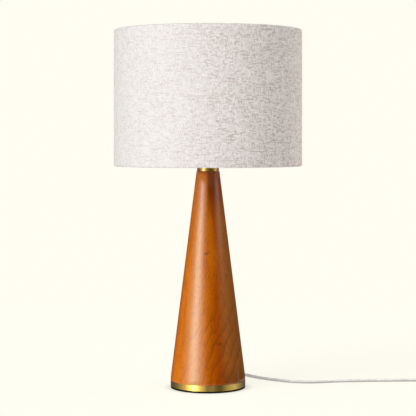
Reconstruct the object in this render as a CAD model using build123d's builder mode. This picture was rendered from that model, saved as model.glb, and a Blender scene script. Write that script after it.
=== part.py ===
from build123d import *

import math
import os

# Column table lamp: a turned wooden cone between two brass rings, with a socket and a harp
# on a threaded pipe, a linen drum shade, and a supply cord that leaves the back of the foot.
# Millimetres. The origin is on the table under the column's axis, +Z is up, -Y is the front.

os.makedirs("parts", exist_ok=True)

# ---------------------------------------------------------------- driving dimensions

# Clearances
seat_gap = 0.05  # between pieces that sit in or on each other
turn_gap = 0.3  # between pieces that turn or slide past each other
thread_gap = 0.1  # between a thread and what screws on it

# Foot and column
foot_r = 65.5  # outside of the foot band and of the wood above it
pad_inset = 1.2  # the pad lies this far inside the foot band
pad_t = 3.2
pad_edge = 0.5
band_h = 10.2
band_wall = 1.6
band_edge = 0.5
column_h = 376.0  # turned wood, from the pad to the neck ring
column_top_r = 20.1
column_top_round = 0.8
foot_vertical = 3.8  # height above the band at which the taper would reach the foot's radius
bore_gap = 0.6  # between the pipe and the bore of the wood

# Weight under the column
recess_r = 48.0
recess_h = 45.0
weight_gap = 1.5
weight_t = 14.0
weight_edge = 1.5

# Pipe and what is clamped on it
pipe_r = 5.0
pipe_bore_r = 3.3
pipe_tail = 2.0  # pipe below the bottom nut
bottom_washer_r = 11.0
bottom_washer_t = 1.5
bottom_nut_flats = 15.0
bottom_nut_t = 6.0
neck_washer_r = 12.0
neck_washer_t = 1.2
neck_nut_flats = 16.0
neck_nut_t = 5.0

# Neck
neck_r = 19.1
neck_h = 12.0
neck_wall = 1.4
neck_edge = 0.4
neck_cap_inset = 0.4
neck_cap_t = 2.0
neck_cap_spigot = 2.0

# Harp and saddle
saddle_t = 1.6
saddle_w = 4.4  # width of the strip and of its two ears
saddle_disc_r = 10.0
saddle_bend = 1.2  # inside radius of the strip's bends
ear_x = 28.5  # outer face of each ear
ear_h = 12.0  # ear above the strip
saddle_nut_flats = 14.0
saddle_nut_t = 3.0
harp_h = 203.0  # from the underside of the saddle to the top of the harp
harp_wire_r = 1.9
harp_leg_h = 46.0  # straight leg, up to the corner of its first bend
harp_leg_bend_r = 66.0
harp_belly_x = 57.0  # half the harp's width at its widest
harp_belly_low = 92.0
harp_belly_high = 140.0
harp_belly_low_r = 90.0
harp_belly_high_r = 72.0
harp_shoulder_x = 22.0
harp_shoulder_r = 32.0
harp_eye_r = 6.0
ferrule_wall = 0.8
ferrule_h = 13.0

# Swivel stud and finial
stud_r = 3.1
stud_h = 14.0  # thread above the hub
stud_shank_r = 1.6
stud_head_r = 3.2
stud_head_t = 1.4
stud_flange_r = 9.0
stud_flange_t = 1.6
finial_base_r = 7.5
finial_base_h = 3.0
finial_waist_r = 4.6
finial_waist_h = 4.4
finial_ball_r = 6.8

# Socket
socket_hub_r = 7.4
socket_hub_h = 8.0
socket_hub_thread = 7.0  # how far the pipe screws into the hub
socket_cap_r = 17.2
socket_cap_wall = 0.9
socket_cap_flare = 9.0
socket_cap_rim = 8.0
shell_wall = 0.6
shell_h = 42.0
shell_lap = 7.0  # how far the shell sits inside the cap's rim
sleeve_wall = 0.9
sleeve_short = 1.0  # the sleeve ends this far inside the shell
socket_body_h = 17.0
terminal_flat_x = 11.2
terminal_flat_h = 9.0
terminal_head_r = 3.0
terminal_head_t = 1.9
terminal_shank_r = 1.4
terminal_shank_l = 5.0
screw_shell_wall = 0.5
contact_w = 6.0
contact_t = 0.6
contact_rise = 1.8

# Switch
switch_shaft_r = 1.7
switch_shaft_in = 3.0  # the shaft starts this far from the socket's axis
knob_stand = 5.0  # knob clear of the shell
knob_r = 5.6
knob_l = 13.0
knob_bore_l = 6.0
knob_ribs = 12
knob_rib_r = 0.6

# Bulb
bulb_base_r = 13.1
bulb_base_h = 22.0
bulb_base_wall = 0.4
bulb_thread_pitch = 3.6
bulb_thread_depth = 0.5
bulb_insulator_h = 2.2
bulb_insulator_r = 8.5
bulb_tip_r = 4.6
bulb_tip_h = 1.2
bulb_glass_r = 30.0
bulb_glass_wall = 0.8
bulb_neck_r = 14.2
bulb_neck_h = 8.0
bulb_centre_h = 54.0  # centre of the bulb's round end above its base

# Shade
shade_r = 165.0
shade_h = 238.2
shade_drop = 27.9  # top of the spider's hub below the top rim
fabric_t = 0.8
liner_t = 0.6
shade_wire_r = 1.8
hem_h = 11.0
spider_hub_r = 14.0
spider_hub_t = 1.6
spider_arm_r = 1.4
spider_arms = 3
spider_bend_r = 8.0

# Supply cord
cord_r = 2.4
cord_rise = 7.6  # cord hole above the foot band
lead_r = 0.9
lead_split = 1.3  # each lead beside the cord's centre
bushing_r = 4.6
bushing_flange_r = 6.4
bushing_flange_t = 2.2
bushing_seat = 1.7  # depth of the flat seat cut in the wood
bushing_barb = 0.7
relief_l = 24.0
relief_root_r = 4.2
relief_tip_r = 3.2
relief_grooves = 5
relief_groove = 0.45
coil_middle_r = 28.2  # middle of the bundle of turns
coil_pitch = 6.3  # from one turn to the next one out
coil_step = 5.5  # from one layer to the next
coil_layers = 4
coil_spiral = 3  # half turns of spiral in each layer
coil_half_turns = 14
coil_lift = 1.15  # the tie's lower run lies under the coil
tie_t = 0.9
tie_w = 8.0
plug_w = 24.0
plug_t = 13.0
plug_root_r = 4.0
plug_shoulder = 13.0
plug_l = 15.0
plug_corner = 3.5
plug_edge = 1.2
blade_gauge = 12.7  # between the two blades' middles
blade_t = 1.5
blade_widths = (6.4, 7.9)
blade_l = 17.0
blade_in = 3.0
blade_hole_r = 1.6
table_gap = 0.1  # what lies loose on the table is this far clear of it

# ---------------------------------------------------------------- heights and seats

pad_r = foot_r - pad_inset
rabbet_r = foot_r - band_wall
band_top = pad_t + band_h
column_top = pad_t + column_h
bore_r = pipe_r + bore_gap
clamp_r = pipe_r + thread_gap

recess_top = pad_t + recess_h
weight_bottom = recess_top - weight_t
washer_bottom = weight_bottom - bottom_washer_t
nut_bottom = washer_bottom - bottom_nut_t
pipe_bottom = nut_bottom - pipe_tail

neck_nut_bottom = column_top + neck_washer_t
neck_bore_r = neck_r - neck_wall
neck_top = column_top + neck_h
saddle_bottom = neck_top + neck_cap_t
saddle_top = saddle_bottom + saddle_t
socket_bottom = saddle_top + saddle_nut_t
pipe_top = socket_bottom + socket_hub_thread

harp_top = saddle_bottom + harp_h
flange_bottom = harp_top + turn_gap
hub_bottom = flange_bottom + stud_flange_t
hub_top = hub_bottom + spider_hub_t
finial_bottom = hub_top + turn_gap
shade_top = hub_top + shade_drop - spider_hub_t
shade_bottom = shade_top - shade_h

cord_z = band_top + cord_rise
column_slope = (foot_r - column_top_r) / (column_top - band_top - foot_vertical)


def turned(points):
    """Face in the XZ plane with these corners, X as radius, ready to revolve."""
    with BuildSketch(Plane.XZ) as face:
        with BuildLine():
            Polyline(*points, close=True)
        make_face()
    return face.sketch


def washer(bottom, thickness, outer_r, hole_r):
    with BuildPart() as ring:
        with BuildSketch(Plane.XY.offset(bottom)):
            Circle(outer_r)
            Circle(hole_r, mode=Mode.SUBTRACT)
        extrude(amount=thickness)
    return ring


def hex_nut(bottom, thickness, flats, hole_r):
    with BuildPart() as nut:
        with BuildSketch(Plane.XY.offset(bottom)):
            RegularPolygon(flats / 2, 6, major_radius=False)
            Circle(hole_r, mode=Mode.SUBTRACT)
        extrude(amount=thickness)
    return nut


def corner_radii(points, share=0.45):
    """Arc for each inner corner of a cord's route, as large as its two runs allow."""
    radii = []
    for before, corner, after in zip(points, points[1:], points[2:]):
        run_in = Vector(*corner) - Vector(*before)
        run_out = Vector(*after) - Vector(*corner)
        half_turn = math.radians(run_in.get_angle(run_out) / 2)
        radii.append(share * min(run_in.length, run_out.length) / math.tan(half_turn))
    return radii


def tube(points, radius):
    """Round tube along straight runs that tangent arcs join."""
    with BuildPart() as swept:
        with BuildLine() as route:
            FilletPolyline(*points, radius=corner_radii(points))
        path = route.wire()
        with BuildSketch(Plane(origin=path @ 0, z_dir=path % 0)):
            Circle(radius)
        sweep(path=path)
    return swept, path.length


# ---------------------------------------------------------------- foot and column

with BuildPart() as foot_pad:
    with BuildSketch(Plane.XY):
        Circle(pad_r)
    extrude(amount=pad_t)
    fillet(foot_pad.edges().group_by(Axis.Z)[0], pad_edge)
foot_pad.part.label = "foot_pad"
export_step(foot_pad.part, "parts/foot_pad.step")

with BuildPart() as foot_band:
    with BuildSketch(Plane.XY.offset(pad_t)):
        Circle(foot_r)
        Circle(rabbet_r + seat_gap, mode=Mode.SUBTRACT)
    extrude(amount=band_h)
    fillet(foot_band.faces().sort_by(SortBy.AREA)[-1].edges().filter_by(GeomType.CIRCLE), band_edge)
foot_band.part.label = "foot_band"
export_step(foot_band.part, "parts/foot_band.step")

# The taper meets the foot in a long soft round that ends just above the band.
taper_half_turn = math.atan(column_slope) / 2
foot_round_r = 0.9 * foot_vertical / math.tan(taper_half_turn)
taper_foot = (foot_r, band_top + foot_vertical)
taper_top = (column_top_r, column_top)
bushing_seat_y = foot_r - bushing_seat
spot_r = bushing_flange_r + turn_gap


def rear_plane(y):
    """Plane across the cord's hole, facing backwards, at this distance behind the axis."""
    return Plane(origin=(0, y, cord_z), x_dir=(1, 0, 0), z_dir=(0, 1, 0))


with BuildPart() as wood_column:
    with BuildSketch(Plane.XZ) as outline:
        with BuildLine():
            Polyline(
                (0, pad_t),
                (rabbet_r, pad_t),
                (rabbet_r, band_top),
                (foot_r, band_top),
                taper_foot,
                taper_top,
                (0, column_top),
                close=True,
            )
        make_face()
        corners = outline.vertices()
        fillet(corners.sort_by_distance(taper_foot)[0], foot_round_r)
        corners = outline.vertices()
        fillet(corners.sort_by_distance(taper_top)[0], column_top_round)
    revolve(axis=Axis.Z)
    with BuildSketch(Plane.XY.offset(pad_t)):
        Circle(bore_r)
    extrude(amount=column_h, mode=Mode.SUBTRACT)
    with BuildSketch(Plane.XY.offset(pad_t)):
        Circle(recess_r)
    extrude(amount=recess_h, mode=Mode.SUBTRACT)
    with BuildSketch(rear_plane(recess_r / 2)):
        Circle(bushing_r + seat_gap)
    extrude(amount=foot_r, mode=Mode.SUBTRACT)
    with BuildSketch(rear_plane(bushing_seat_y)):
        Circle(spot_r)
    extrude(amount=foot_r, mode=Mode.SUBTRACT)
wood_column.part.label = "wood_column"
export_step(wood_column.part, "parts/wood_column.step")

with BuildPart() as base_weight:
    with BuildSketch(Plane.XY.offset(weight_bottom)):
        Circle(recess_r - weight_gap)
        Circle(bore_r, mode=Mode.SUBTRACT)
    extrude(amount=weight_t)
    chamfer(base_weight.edges().filter_by(GeomType.CIRCLE).group_by(SortBy.RADIUS)[-1], weight_edge)
base_weight.part.label = "base_weight"
export_step(base_weight.part, "parts/base_weight.step")

with BuildPart() as lamp_pipe:
    with BuildSketch(Plane.XY.offset(pipe_bottom)):
        Circle(pipe_r)
        Circle(pipe_bore_r, mode=Mode.SUBTRACT)
    extrude(amount=pipe_top - pipe_bottom)
lamp_pipe.part.label = "lamp_pipe"
export_step(lamp_pipe.part, "parts/lamp_pipe.step")

bottom_washer = washer(washer_bottom, bottom_washer_t, bottom_washer_r, clamp_r)
bottom_washer.part.label = "bottom_washer"
export_step(bottom_washer.part, "parts/bottom_washer.step")

bottom_nut = hex_nut(nut_bottom, bottom_nut_t, bottom_nut_flats, clamp_r)
bottom_nut.part.label = "bottom_nut"
export_step(bottom_nut.part, "parts/bottom_nut.step")

# ---------------------------------------------------------------- neck

neck_washer = washer(column_top, neck_washer_t, neck_washer_r, clamp_r)
neck_washer.part.label = "neck_washer"
export_step(neck_washer.part, "parts/neck_washer.step")

neck_nut = hex_nut(neck_nut_bottom, neck_nut_t, neck_nut_flats, clamp_r)
neck_nut.part.label = "neck_nut"
export_step(neck_nut.part, "parts/neck_nut.step")

with BuildPart() as neck_ring:
    with BuildSketch(Plane.XY.offset(column_top)):
        Circle(neck_r)
        Circle(neck_bore_r, mode=Mode.SUBTRACT)
    extrude(amount=neck_h)
    fillet(neck_ring.faces().sort_by(SortBy.AREA)[-1].edges().filter_by(GeomType.CIRCLE), neck_edge)
neck_ring.part.label = "neck_ring"
export_step(neck_ring.part, "parts/neck_ring.step")

with BuildPart() as neck_cap:
    with BuildSketch(Plane.XY.offset(neck_top)):
        Circle(neck_r - neck_cap_inset)
    extrude(amount=neck_cap_t)
    with BuildSketch(Plane.XY.offset(neck_top)):
        Circle(neck_bore_r - seat_gap)
    extrude(amount=-neck_cap_spigot)
    with BuildSketch(Plane.XY.offset(neck_top - neck_cap_spigot)):
        Circle(clamp_r)
    extrude(amount=neck_cap_t + neck_cap_spigot, mode=Mode.SUBTRACT)
neck_cap.part.label = "neck_cap"
export_step(neck_cap.part, "parts/neck_cap.step")

# ---------------------------------------------------------------- harp

ear_top = saddle_top + ear_h
leg_x = ear_x + seat_gap + harp_wire_r
leg_bottom = saddle_top + turn_gap
ferrule_x = (ear_x - saddle_t + leg_x + harp_wire_r) / 2
ferrule_bore_r = math.hypot(ferrule_x - ear_x + saddle_t, saddle_w / 2) + turn_gap

# A flat strip with a disc round the pipe, bent up into an ear at each end.
with BuildPart() as harp_saddle:
    with BuildSketch(Plane.XZ) as strip:
        with BuildLine():
            Polyline(
                (-ear_x, ear_top),
                (-ear_x, saddle_bottom),
                (ear_x, saddle_bottom),
                (ear_x, ear_top),
                (ear_x - saddle_t, ear_top),
                (ear_x - saddle_t, saddle_top),
                (saddle_t - ear_x, saddle_top),
                (saddle_t - ear_x, ear_top),
                close=True,
            )
        make_face()
        levels = strip.vertices().group_by(Axis.Y)
        fillet(levels[0], saddle_bend + saddle_t)
        fillet(strip.vertices().filter_by(lambda v: abs(v.Y - saddle_top) < seat_gap), saddle_bend)
    extrude(amount=saddle_w / 2, both=True)
    with BuildSketch(Plane.XY.offset(saddle_bottom)):
        Circle(saddle_disc_r)
    extrude(amount=saddle_t)
    with BuildSketch(Plane.XY.offset(saddle_bottom)):
        Circle(clamp_r)
    extrude(amount=saddle_t, mode=Mode.SUBTRACT)
harp_saddle.part.label = "harp_saddle"
export_step(harp_saddle.part, "parts/harp_saddle.step")

saddle_nut = hex_nut(saddle_top, saddle_nut_t, saddle_nut_flats, clamp_r)
saddle_nut.part.label = "saddle_nut"
export_step(saddle_nut.part, "parts/saddle_nut.step")

harp_axis_top = harp_top - harp_wire_r
right_side = [
    (leg_x, 0, leg_bottom),
    (leg_x, 0, leg_bottom + harp_leg_h),
    (harp_belly_x, 0, saddle_bottom + harp_belly_low),
    (harp_belly_x, 0, saddle_bottom + harp_belly_high),
    (harp_shoulder_x, 0, harp_axis_top),
]
left_side = [(-x, y, z) for x, y, z in reversed(right_side)]
side_radii = [harp_leg_bend_r, harp_belly_low_r, harp_belly_high_r, harp_shoulder_r]

with BuildPart() as harp:
    with BuildLine() as bow:
        FilletPolyline(*right_side, *left_side, radius=side_radii + side_radii[::-1])
    bow_path = bow.wire()
    with BuildSketch(Plane(origin=bow_path @ 0, z_dir=bow_path % 0)):
        Circle(harp_wire_r)
    sweep(path=bow_path)
    with BuildSketch(Plane.XY.offset(harp_top - 2 * harp_wire_r)):
        Circle(harp_eye_r)
    extrude(amount=2 * harp_wire_r)
    with BuildSketch(Plane.XY.offset(harp_top - 2 * harp_wire_r)):
        Circle(stud_shank_r + turn_gap)
    extrude(amount=2 * harp_wire_r, mode=Mode.SUBTRACT)
harp.part.label = "harp"
export_step(harp.part, "parts/harp.step")

# The ferrules slide up the legs to free the harp, and drop back over the ears.
for side, name in ((-1, "ferrule_left"), (1, "ferrule_right")):
    with BuildPart() as ferrule:
        with BuildSketch(Plane.XY.offset(saddle_top + turn_gap)):
            with Locations((side * ferrule_x, 0)):
                Circle(ferrule_bore_r + ferrule_wall)
                Circle(ferrule_bore_r, mode=Mode.SUBTRACT)
        extrude(amount=ferrule_h)
    ferrule.part.label = name
    export_step(ferrule.part, f"parts/{name}.step")

# ---------------------------------------------------------------- swivel stud and finial

shank_bottom = harp_top - 2 * harp_wire_r - turn_gap
with BuildPart() as swivel_stud:
    with BuildSketch(Plane.XY.offset(shank_bottom - stud_head_t)):
        Circle(stud_head_r)
    extrude(amount=stud_head_t)
    with BuildSketch(Plane.XY.offset(shank_bottom)):
        Circle(stud_shank_r)
    extrude(amount=flange_bottom - shank_bottom)
    with BuildSketch(Plane.XY.offset(flange_bottom)):
        Circle(stud_flange_r)
    extrude(amount=stud_flange_t)
    with BuildSketch(Plane.XY.offset(hub_bottom)):
        Circle(stud_r)
    extrude(amount=spider_hub_t + stud_h)
    chamfer(swivel_stud.edges().group_by(Axis.Z)[-1], stud_r / 4)
swivel_stud.part.label = "swivel_stud"
export_step(swivel_stud.part, "parts/swivel_stud.step")

# Turned foot, waist and ball, with a blind hole for the stud.
finial_waist_bottom = finial_bottom + finial_base_h
finial_waist_top = finial_waist_bottom + finial_waist_h
ball_dip = math.sqrt(finial_ball_r**2 - finial_waist_r**2)
ball_centre = finial_waist_top + ball_dip
with BuildPart() as finial:
    with BuildSketch(Plane.XZ):
        with BuildLine():
            Polyline(
                (0, ball_centre + finial_ball_r),
                (0, finial_bottom),
                (finial_base_r, finial_bottom),
                (finial_base_r, finial_bottom + finial_base_h / 2),
                (finial_waist_r, finial_waist_bottom),
                (finial_waist_r, finial_waist_top),
            )
            ThreePointArc(
                (finial_waist_r, finial_waist_top),
                (finial_ball_r, ball_centre),
                (0, ball_centre + finial_ball_r),
            )
        make_face()
    revolve(axis=Axis.Z)
    with BuildSketch(Plane.XY.offset(finial_bottom)):
        Circle(stud_r + thread_gap)
    extrude(amount=stud_h + turn_gap, mode=Mode.SUBTRACT)
finial.part.label = "finial"
export_step(finial.part, "parts/finial.step")

# ---------------------------------------------------------------- socket

rim_bottom = socket_bottom + socket_hub_h + socket_cap_flare
rim_top = rim_bottom + socket_cap_rim
rim_bore_r = socket_cap_r - socket_cap_wall
hub_ceiling = socket_bottom + socket_hub_h + socket_cap_wall
with BuildPart() as socket_cap:
    with BuildSketch(Plane.XZ):
        with BuildLine():
            Polyline(
                (clamp_r, socket_bottom),
                (socket_hub_r, socket_bottom),
                (socket_hub_r, socket_bottom + socket_hub_h),
                (socket_cap_r, rim_bottom),
                (socket_cap_r, rim_top),
                (rim_bore_r, rim_top),
                (rim_bore_r, rim_bottom + socket_cap_wall / 2),
                (socket_hub_r - socket_cap_wall, hub_ceiling),
                (clamp_r, hub_ceiling),
                close=True,
            )
        make_face()
    revolve(axis=Axis.Z)
socket_cap.part.label = "socket_cap"
export_step(socket_cap.part, "parts/socket_cap.step")

shell_r = rim_bore_r - seat_gap
shell_bottom = rim_top - shell_lap
shell_top = shell_bottom + shell_h
sleeve_r = shell_r - shell_wall - seat_gap
sleeve_bottom = shell_bottom + sleeve_short
sleeve_top = shell_top - sleeve_short
body_r = sleeve_r - sleeve_wall - seat_gap
body_top = sleeve_bottom + socket_body_h
shaft_z = rim_top + knob_r
shaft_hole_r = switch_shaft_r + turn_gap


def shaft_plane(distance):
    """Plane across the switch shaft, facing the front, at this distance from the axis."""
    return Plane(origin=(0, -distance, shaft_z), x_dir=(1, 0, 0), z_dir=(0, -1, 0))


with BuildPart() as socket_shell:
    with BuildSketch(Plane.XY.offset(shell_bottom)):
        Circle(shell_r)
        Circle(shell_r - shell_wall, mode=Mode.SUBTRACT)
    extrude(amount=shell_h)
    with BuildSketch(shaft_plane(body_r / 2)):
        Circle(shaft_hole_r)
    extrude(amount=shell_r, mode=Mode.SUBTRACT)
socket_shell.part.label = "socket_shell"
export_step(socket_shell.part, "parts/socket_shell.step")

with BuildPart() as insulating_sleeve:
    with BuildSketch(Plane.XY.offset(sleeve_bottom)):
        Circle(sleeve_r)
        Circle(sleeve_r - sleeve_wall, mode=Mode.SUBTRACT)
    extrude(amount=sleeve_top - sleeve_bottom)
    with BuildSketch(shaft_plane(body_r / 2)):
        Circle(shaft_hole_r)
    extrude(amount=shell_r, mode=Mode.SUBTRACT)
insulating_sleeve.part.label = "insulating_sleeve"
export_step(insulating_sleeve.part, "parts/insulating_sleeve.step")

terminal_z = sleeve_bottom + terminal_flat_h / 2
flat_planes = [
    Plane(origin=(side * terminal_flat_x, 0, terminal_z), x_dir=(0, 1, 0), z_dir=(side, 0, 0))
    for side in (-1, 1)
]
with BuildPart() as socket_body:
    with BuildSketch(Plane.XY.offset(sleeve_bottom)):
        Circle(body_r)
    extrude(amount=socket_body_h)
    for flat in flat_planes:
        with BuildSketch(flat):
            Rectangle(2 * body_r, terminal_flat_h)
        extrude(amount=body_r, mode=Mode.SUBTRACT)
        with BuildSketch(flat):
            Circle(terminal_shank_r + seat_gap)
        extrude(amount=-terminal_shank_l - seat_gap, mode=Mode.SUBTRACT)
    with BuildSketch(shaft_plane(switch_shaft_in - turn_gap)):
        Circle(shaft_hole_r)
    extrude(amount=body_r, mode=Mode.SUBTRACT)
socket_body.part.label = "socket_body"
export_step(socket_body.part, "parts/socket_body.step")

with BuildPart() as terminal_screws:
    for flat in flat_planes:
        with BuildSketch(flat):
            Circle(terminal_head_r)
        extrude(amount=terminal_head_t)
        with BuildSketch(flat):
            Circle(terminal_shank_r)
        extrude(amount=-terminal_shank_l)
terminal_screws.part.label = "terminal_screws"
export_step(terminal_screws.part, "parts/terminal_screws.step")

with BuildPart() as centre_contact:
    with BuildSketch(Plane.XZ):
        with BuildLine():
            Polyline(
                (-contact_w, body_top),
                (-contact_w / 3, body_top),
                (0, body_top + contact_rise),
                (contact_w / 3, body_top),
                (contact_w, body_top),
                (contact_w, body_top + contact_t),
                (contact_w / 2, body_top + contact_t),
                (contact_w / 6, body_top + contact_rise + contact_t),
                (-contact_w / 6, body_top + contact_rise + contact_t),
                (-contact_w / 2, body_top + contact_t),
                (-contact_w, body_top + contact_t),
                close=True,
            )
        make_face()
    extrude(amount=contact_w / 2, both=True)
centre_contact.part.label = "centre_contact"
export_step(centre_contact.part, "parts/centre_contact.step")

screw_shell_bore_r = bulb_base_r + turn_gap
with BuildPart() as screw_shell:
    with BuildSketch(Plane.XY.offset(body_top)):
        Circle(screw_shell_bore_r + screw_shell_wall)
        Circle(screw_shell_bore_r, mode=Mode.SUBTRACT)
    extrude(amount=sleeve_top - body_top)
screw_shell.part.label = "screw_shell"
export_step(screw_shell.part, "parts/screw_shell.step")

# ---------------------------------------------------------------- switch

knob_back = shell_r + knob_stand
with BuildPart() as switch_shaft:
    with BuildSketch(shaft_plane(switch_shaft_in)):
        Circle(switch_shaft_r)
    extrude(amount=knob_back + knob_bore_l - switch_shaft_in)
switch_shaft.part.label = "switch_shaft"
export_step(switch_shaft.part, "parts/switch_shaft.step")

with BuildPart() as switch_knob:
    with BuildSketch(shaft_plane(knob_back)):
        Circle(knob_r - knob_rib_r)
        with PolarLocations(knob_r - knob_rib_r, knob_ribs):
            Circle(knob_rib_r)
    extrude(amount=knob_l)
    with BuildSketch(shaft_plane(knob_back)):
        Circle(switch_shaft_r + seat_gap)
    extrude(amount=knob_bore_l + seat_gap, mode=Mode.SUBTRACT)
switch_knob.part.label = "switch_knob"
export_step(switch_knob.part, "parts/switch_knob.step")

# ---------------------------------------------------------------- bulb

tip_bottom = body_top + contact_rise + contact_t + turn_gap
insulator_bottom = tip_bottom + bulb_tip_h
base_bottom = insulator_bottom + bulb_insulator_h
base_top = base_bottom + bulb_base_h
thread_rings = int(bulb_base_h * 0.75 / bulb_thread_pitch)
ridge_r = bulb_base_r
groove_r = bulb_base_r - bulb_thread_depth

with BuildPart() as bulb_tip:
    with BuildSketch(Plane.XY.offset(tip_bottom)):
        Circle(bulb_tip_r)
    extrude(amount=bulb_tip_h)
    fillet(bulb_tip.edges().group_by(Axis.Z)[0], bulb_tip_h / 2)
bulb_tip.part.label = "bulb_tip"
export_step(bulb_tip.part, "parts/bulb_tip.step")

with BuildPart() as bulb_insulator:
    with BuildSketch(Plane.XY.offset(insulator_bottom)):
        Circle(bulb_tip_r)
    with BuildSketch(Plane.XY.offset(base_bottom)):
        Circle(bulb_insulator_r)
    loft()
bulb_insulator.part.label = "bulb_insulator"
export_step(bulb_insulator.part, "parts/bulb_insulator.step")

outer_wall = [(bulb_insulator_r, base_bottom), (groove_r, base_bottom + bulb_thread_pitch / 2)]
for ring in range(thread_rings):
    ring_bottom = base_bottom + (ring + 0.5) * bulb_thread_pitch
    outer_wall.append((ridge_r, ring_bottom + bulb_thread_pitch / 2))
    outer_wall.append((groove_r, ring_bottom + bulb_thread_pitch))
outer_wall.append((ridge_r, base_top))
inner_wall = [(r - bulb_base_wall, z) for r, z in reversed(outer_wall[1:])]
with BuildPart() as bulb_base:
    add(turned(outer_wall + inner_wall + [(bulb_insulator_r - bulb_base_wall, base_bottom)]))
    revolve(axis=Axis.Z)
bulb_base.part.label = "bulb_base"
export_step(bulb_base.part, "parts/bulb_base.step")


def bulb_outline(shrink):
    """Half outline of the bulb's glass, from its neck to its top, drawn inwards by shrink."""
    round_r = bulb_glass_r - shrink
    neck_r_here = bulb_neck_r - shrink
    centre = base_top + bulb_centre_h
    neck_end = base_top + bulb_neck_h
    rise = centre - neck_end
    hollow_r = (neck_r_here**2 - round_r**2 + rise**2) / (2 * (round_r - neck_r_here))
    reach = round_r / (round_r + hollow_r)
    meet = ((neck_r_here + hollow_r) * reach, centre - rise * reach)
    top = (0, centre + round_r)
    start = (neck_r_here, base_top)
    Line(start, (neck_r_here, neck_end))
    TangentArc((neck_r_here, neck_end), meet, tangent=(0, 1))
    ThreePointArc(meet, (round_r, centre), top)
    return start, top


with BuildPart() as bulb_glass:
    with BuildSketch(Plane.XZ):
        with BuildLine():
            outer_start, outer_top = bulb_outline(0)
            inner_start, inner_top = bulb_outline(bulb_glass_wall)
            Line(outer_start, inner_start)
            Line(outer_top, inner_top)
        make_face()
    revolve(axis=Axis.Z)
bulb_glass.part.label = "bulb_glass"
export_step(bulb_glass.part, "parts/bulb_glass.step")

# ---------------------------------------------------------------- shade

wire_ring_r = shade_r - fabric_t - liner_t - seat_gap - shade_wire_r
hem_r = wire_ring_r - shade_wire_r - seat_gap - fabric_t
wire_inset = fabric_t + seat_gap + shade_wire_r
top_wire_z = shade_top - wire_inset
bottom_wire_z = shade_bottom + wire_inset

# The cover's edges turn in over the wires and hang down inside as a hem.
with BuildPart() as shade_fabric:
    with BuildSketch(Plane.XZ) as cloth:
        with BuildLine():
            Polyline(
                (shade_r, shade_bottom),
                (shade_r, shade_top),
                (hem_r, shade_top),
                (hem_r, shade_top - hem_h),
                (hem_r + fabric_t, shade_top - hem_h),
                (hem_r + fabric_t, shade_top - fabric_t),
                (shade_r - fabric_t, shade_top - fabric_t),
                (shade_r - fabric_t, shade_bottom + fabric_t),
                (hem_r + fabric_t, shade_bottom + fabric_t),
                (hem_r + fabric_t, shade_bottom + hem_h),
                (hem_r, shade_bottom + hem_h),
                (hem_r, shade_bottom),
                close=True,
            )
        make_face()
        rims = cloth.vertices().group_by(Axis.Y)
        fillet(rims[0] + rims[-1], shade_wire_r + fabric_t / 2)
        folds = cloth.vertices().filter_by(
            lambda v: abs(v.Y - shade_top + fabric_t) < seat_gap
            or abs(v.Y - shade_bottom - fabric_t) < seat_gap
        )
        fillet(folds, shade_wire_r - fabric_t / 2)
    revolve(axis=Axis.Z)
shade_fabric.part.label = "shade_fabric"
export_step(shade_fabric.part, "parts/shade_fabric.step")

liner_bottom = bottom_wire_z
with BuildPart() as shade_liner:
    with BuildSketch(Plane.XY.offset(liner_bottom)):
        Circle(shade_r - fabric_t)
        Circle(shade_r - fabric_t - liner_t, mode=Mode.SUBTRACT)
    extrude(amount=top_wire_z - liner_bottom)
shade_liner.part.label = "shade_liner"
export_step(shade_liner.part, "parts/shade_liner.step")

for name, height in (("shade_top_ring", top_wire_z), ("shade_bottom_ring", bottom_wire_z)):
    with BuildPart() as wire_ring:
        with BuildSketch(Plane.XZ):
            with Locations((wire_ring_r, height)):
                Circle(shade_wire_r)
        revolve(axis=Axis.Z)
    wire_ring.part.label = name
    export_step(wire_ring.part, f"parts/{name}.step")

arm_z = hub_bottom + spider_hub_t / 2
arm_top = top_wire_z - shade_wire_r - seat_gap
arm_root = (stud_flange_r + spider_hub_r) / 2
with BuildPart() as shade_spider:
    for arm in range(spider_arms):
        around = Plane.XZ.rotated((0, 0, 90 + arm * 360 / spider_arms))
        with BuildLine(around) as arm_line:
            FilletPolyline(
                (arm_root, arm_z),
                (wire_ring_r, arm_z),
                (wire_ring_r, arm_top),
                radius=spider_bend_r,
            )
        arm_path = arm_line.wire()
        with BuildSketch(Plane(origin=arm_path @ 0, z_dir=arm_path % 0)):
            Circle(spider_arm_r)
        sweep(path=arm_path)
    with BuildSketch(Plane.XY.offset(hub_bottom)):
        Circle(spider_hub_r)
    extrude(amount=spider_hub_t)
    with BuildSketch(Plane.XY.offset(hub_bottom)):
        Circle(stud_r + turn_gap)
    extrude(amount=spider_hub_t, mode=Mode.SUBTRACT)
shade_spider.part.label = "shade_spider"
export_step(shade_spider.part, "parts/shade_spider.step")

# ---------------------------------------------------------------- cord inside the lamp

flange_out = bushing_seat_y + bushing_flange_t
relief_end = flange_out + relief_l
barb_y = recess_r - 2 * bushing_barb
groove_pitch = relief_l / (relief_grooves + 1)


def relief_radius(along):
    """Radius of the tapered relief at this distance from the flange."""
    return relief_root_r + (relief_tip_r - relief_root_r) * along / relief_l


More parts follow.
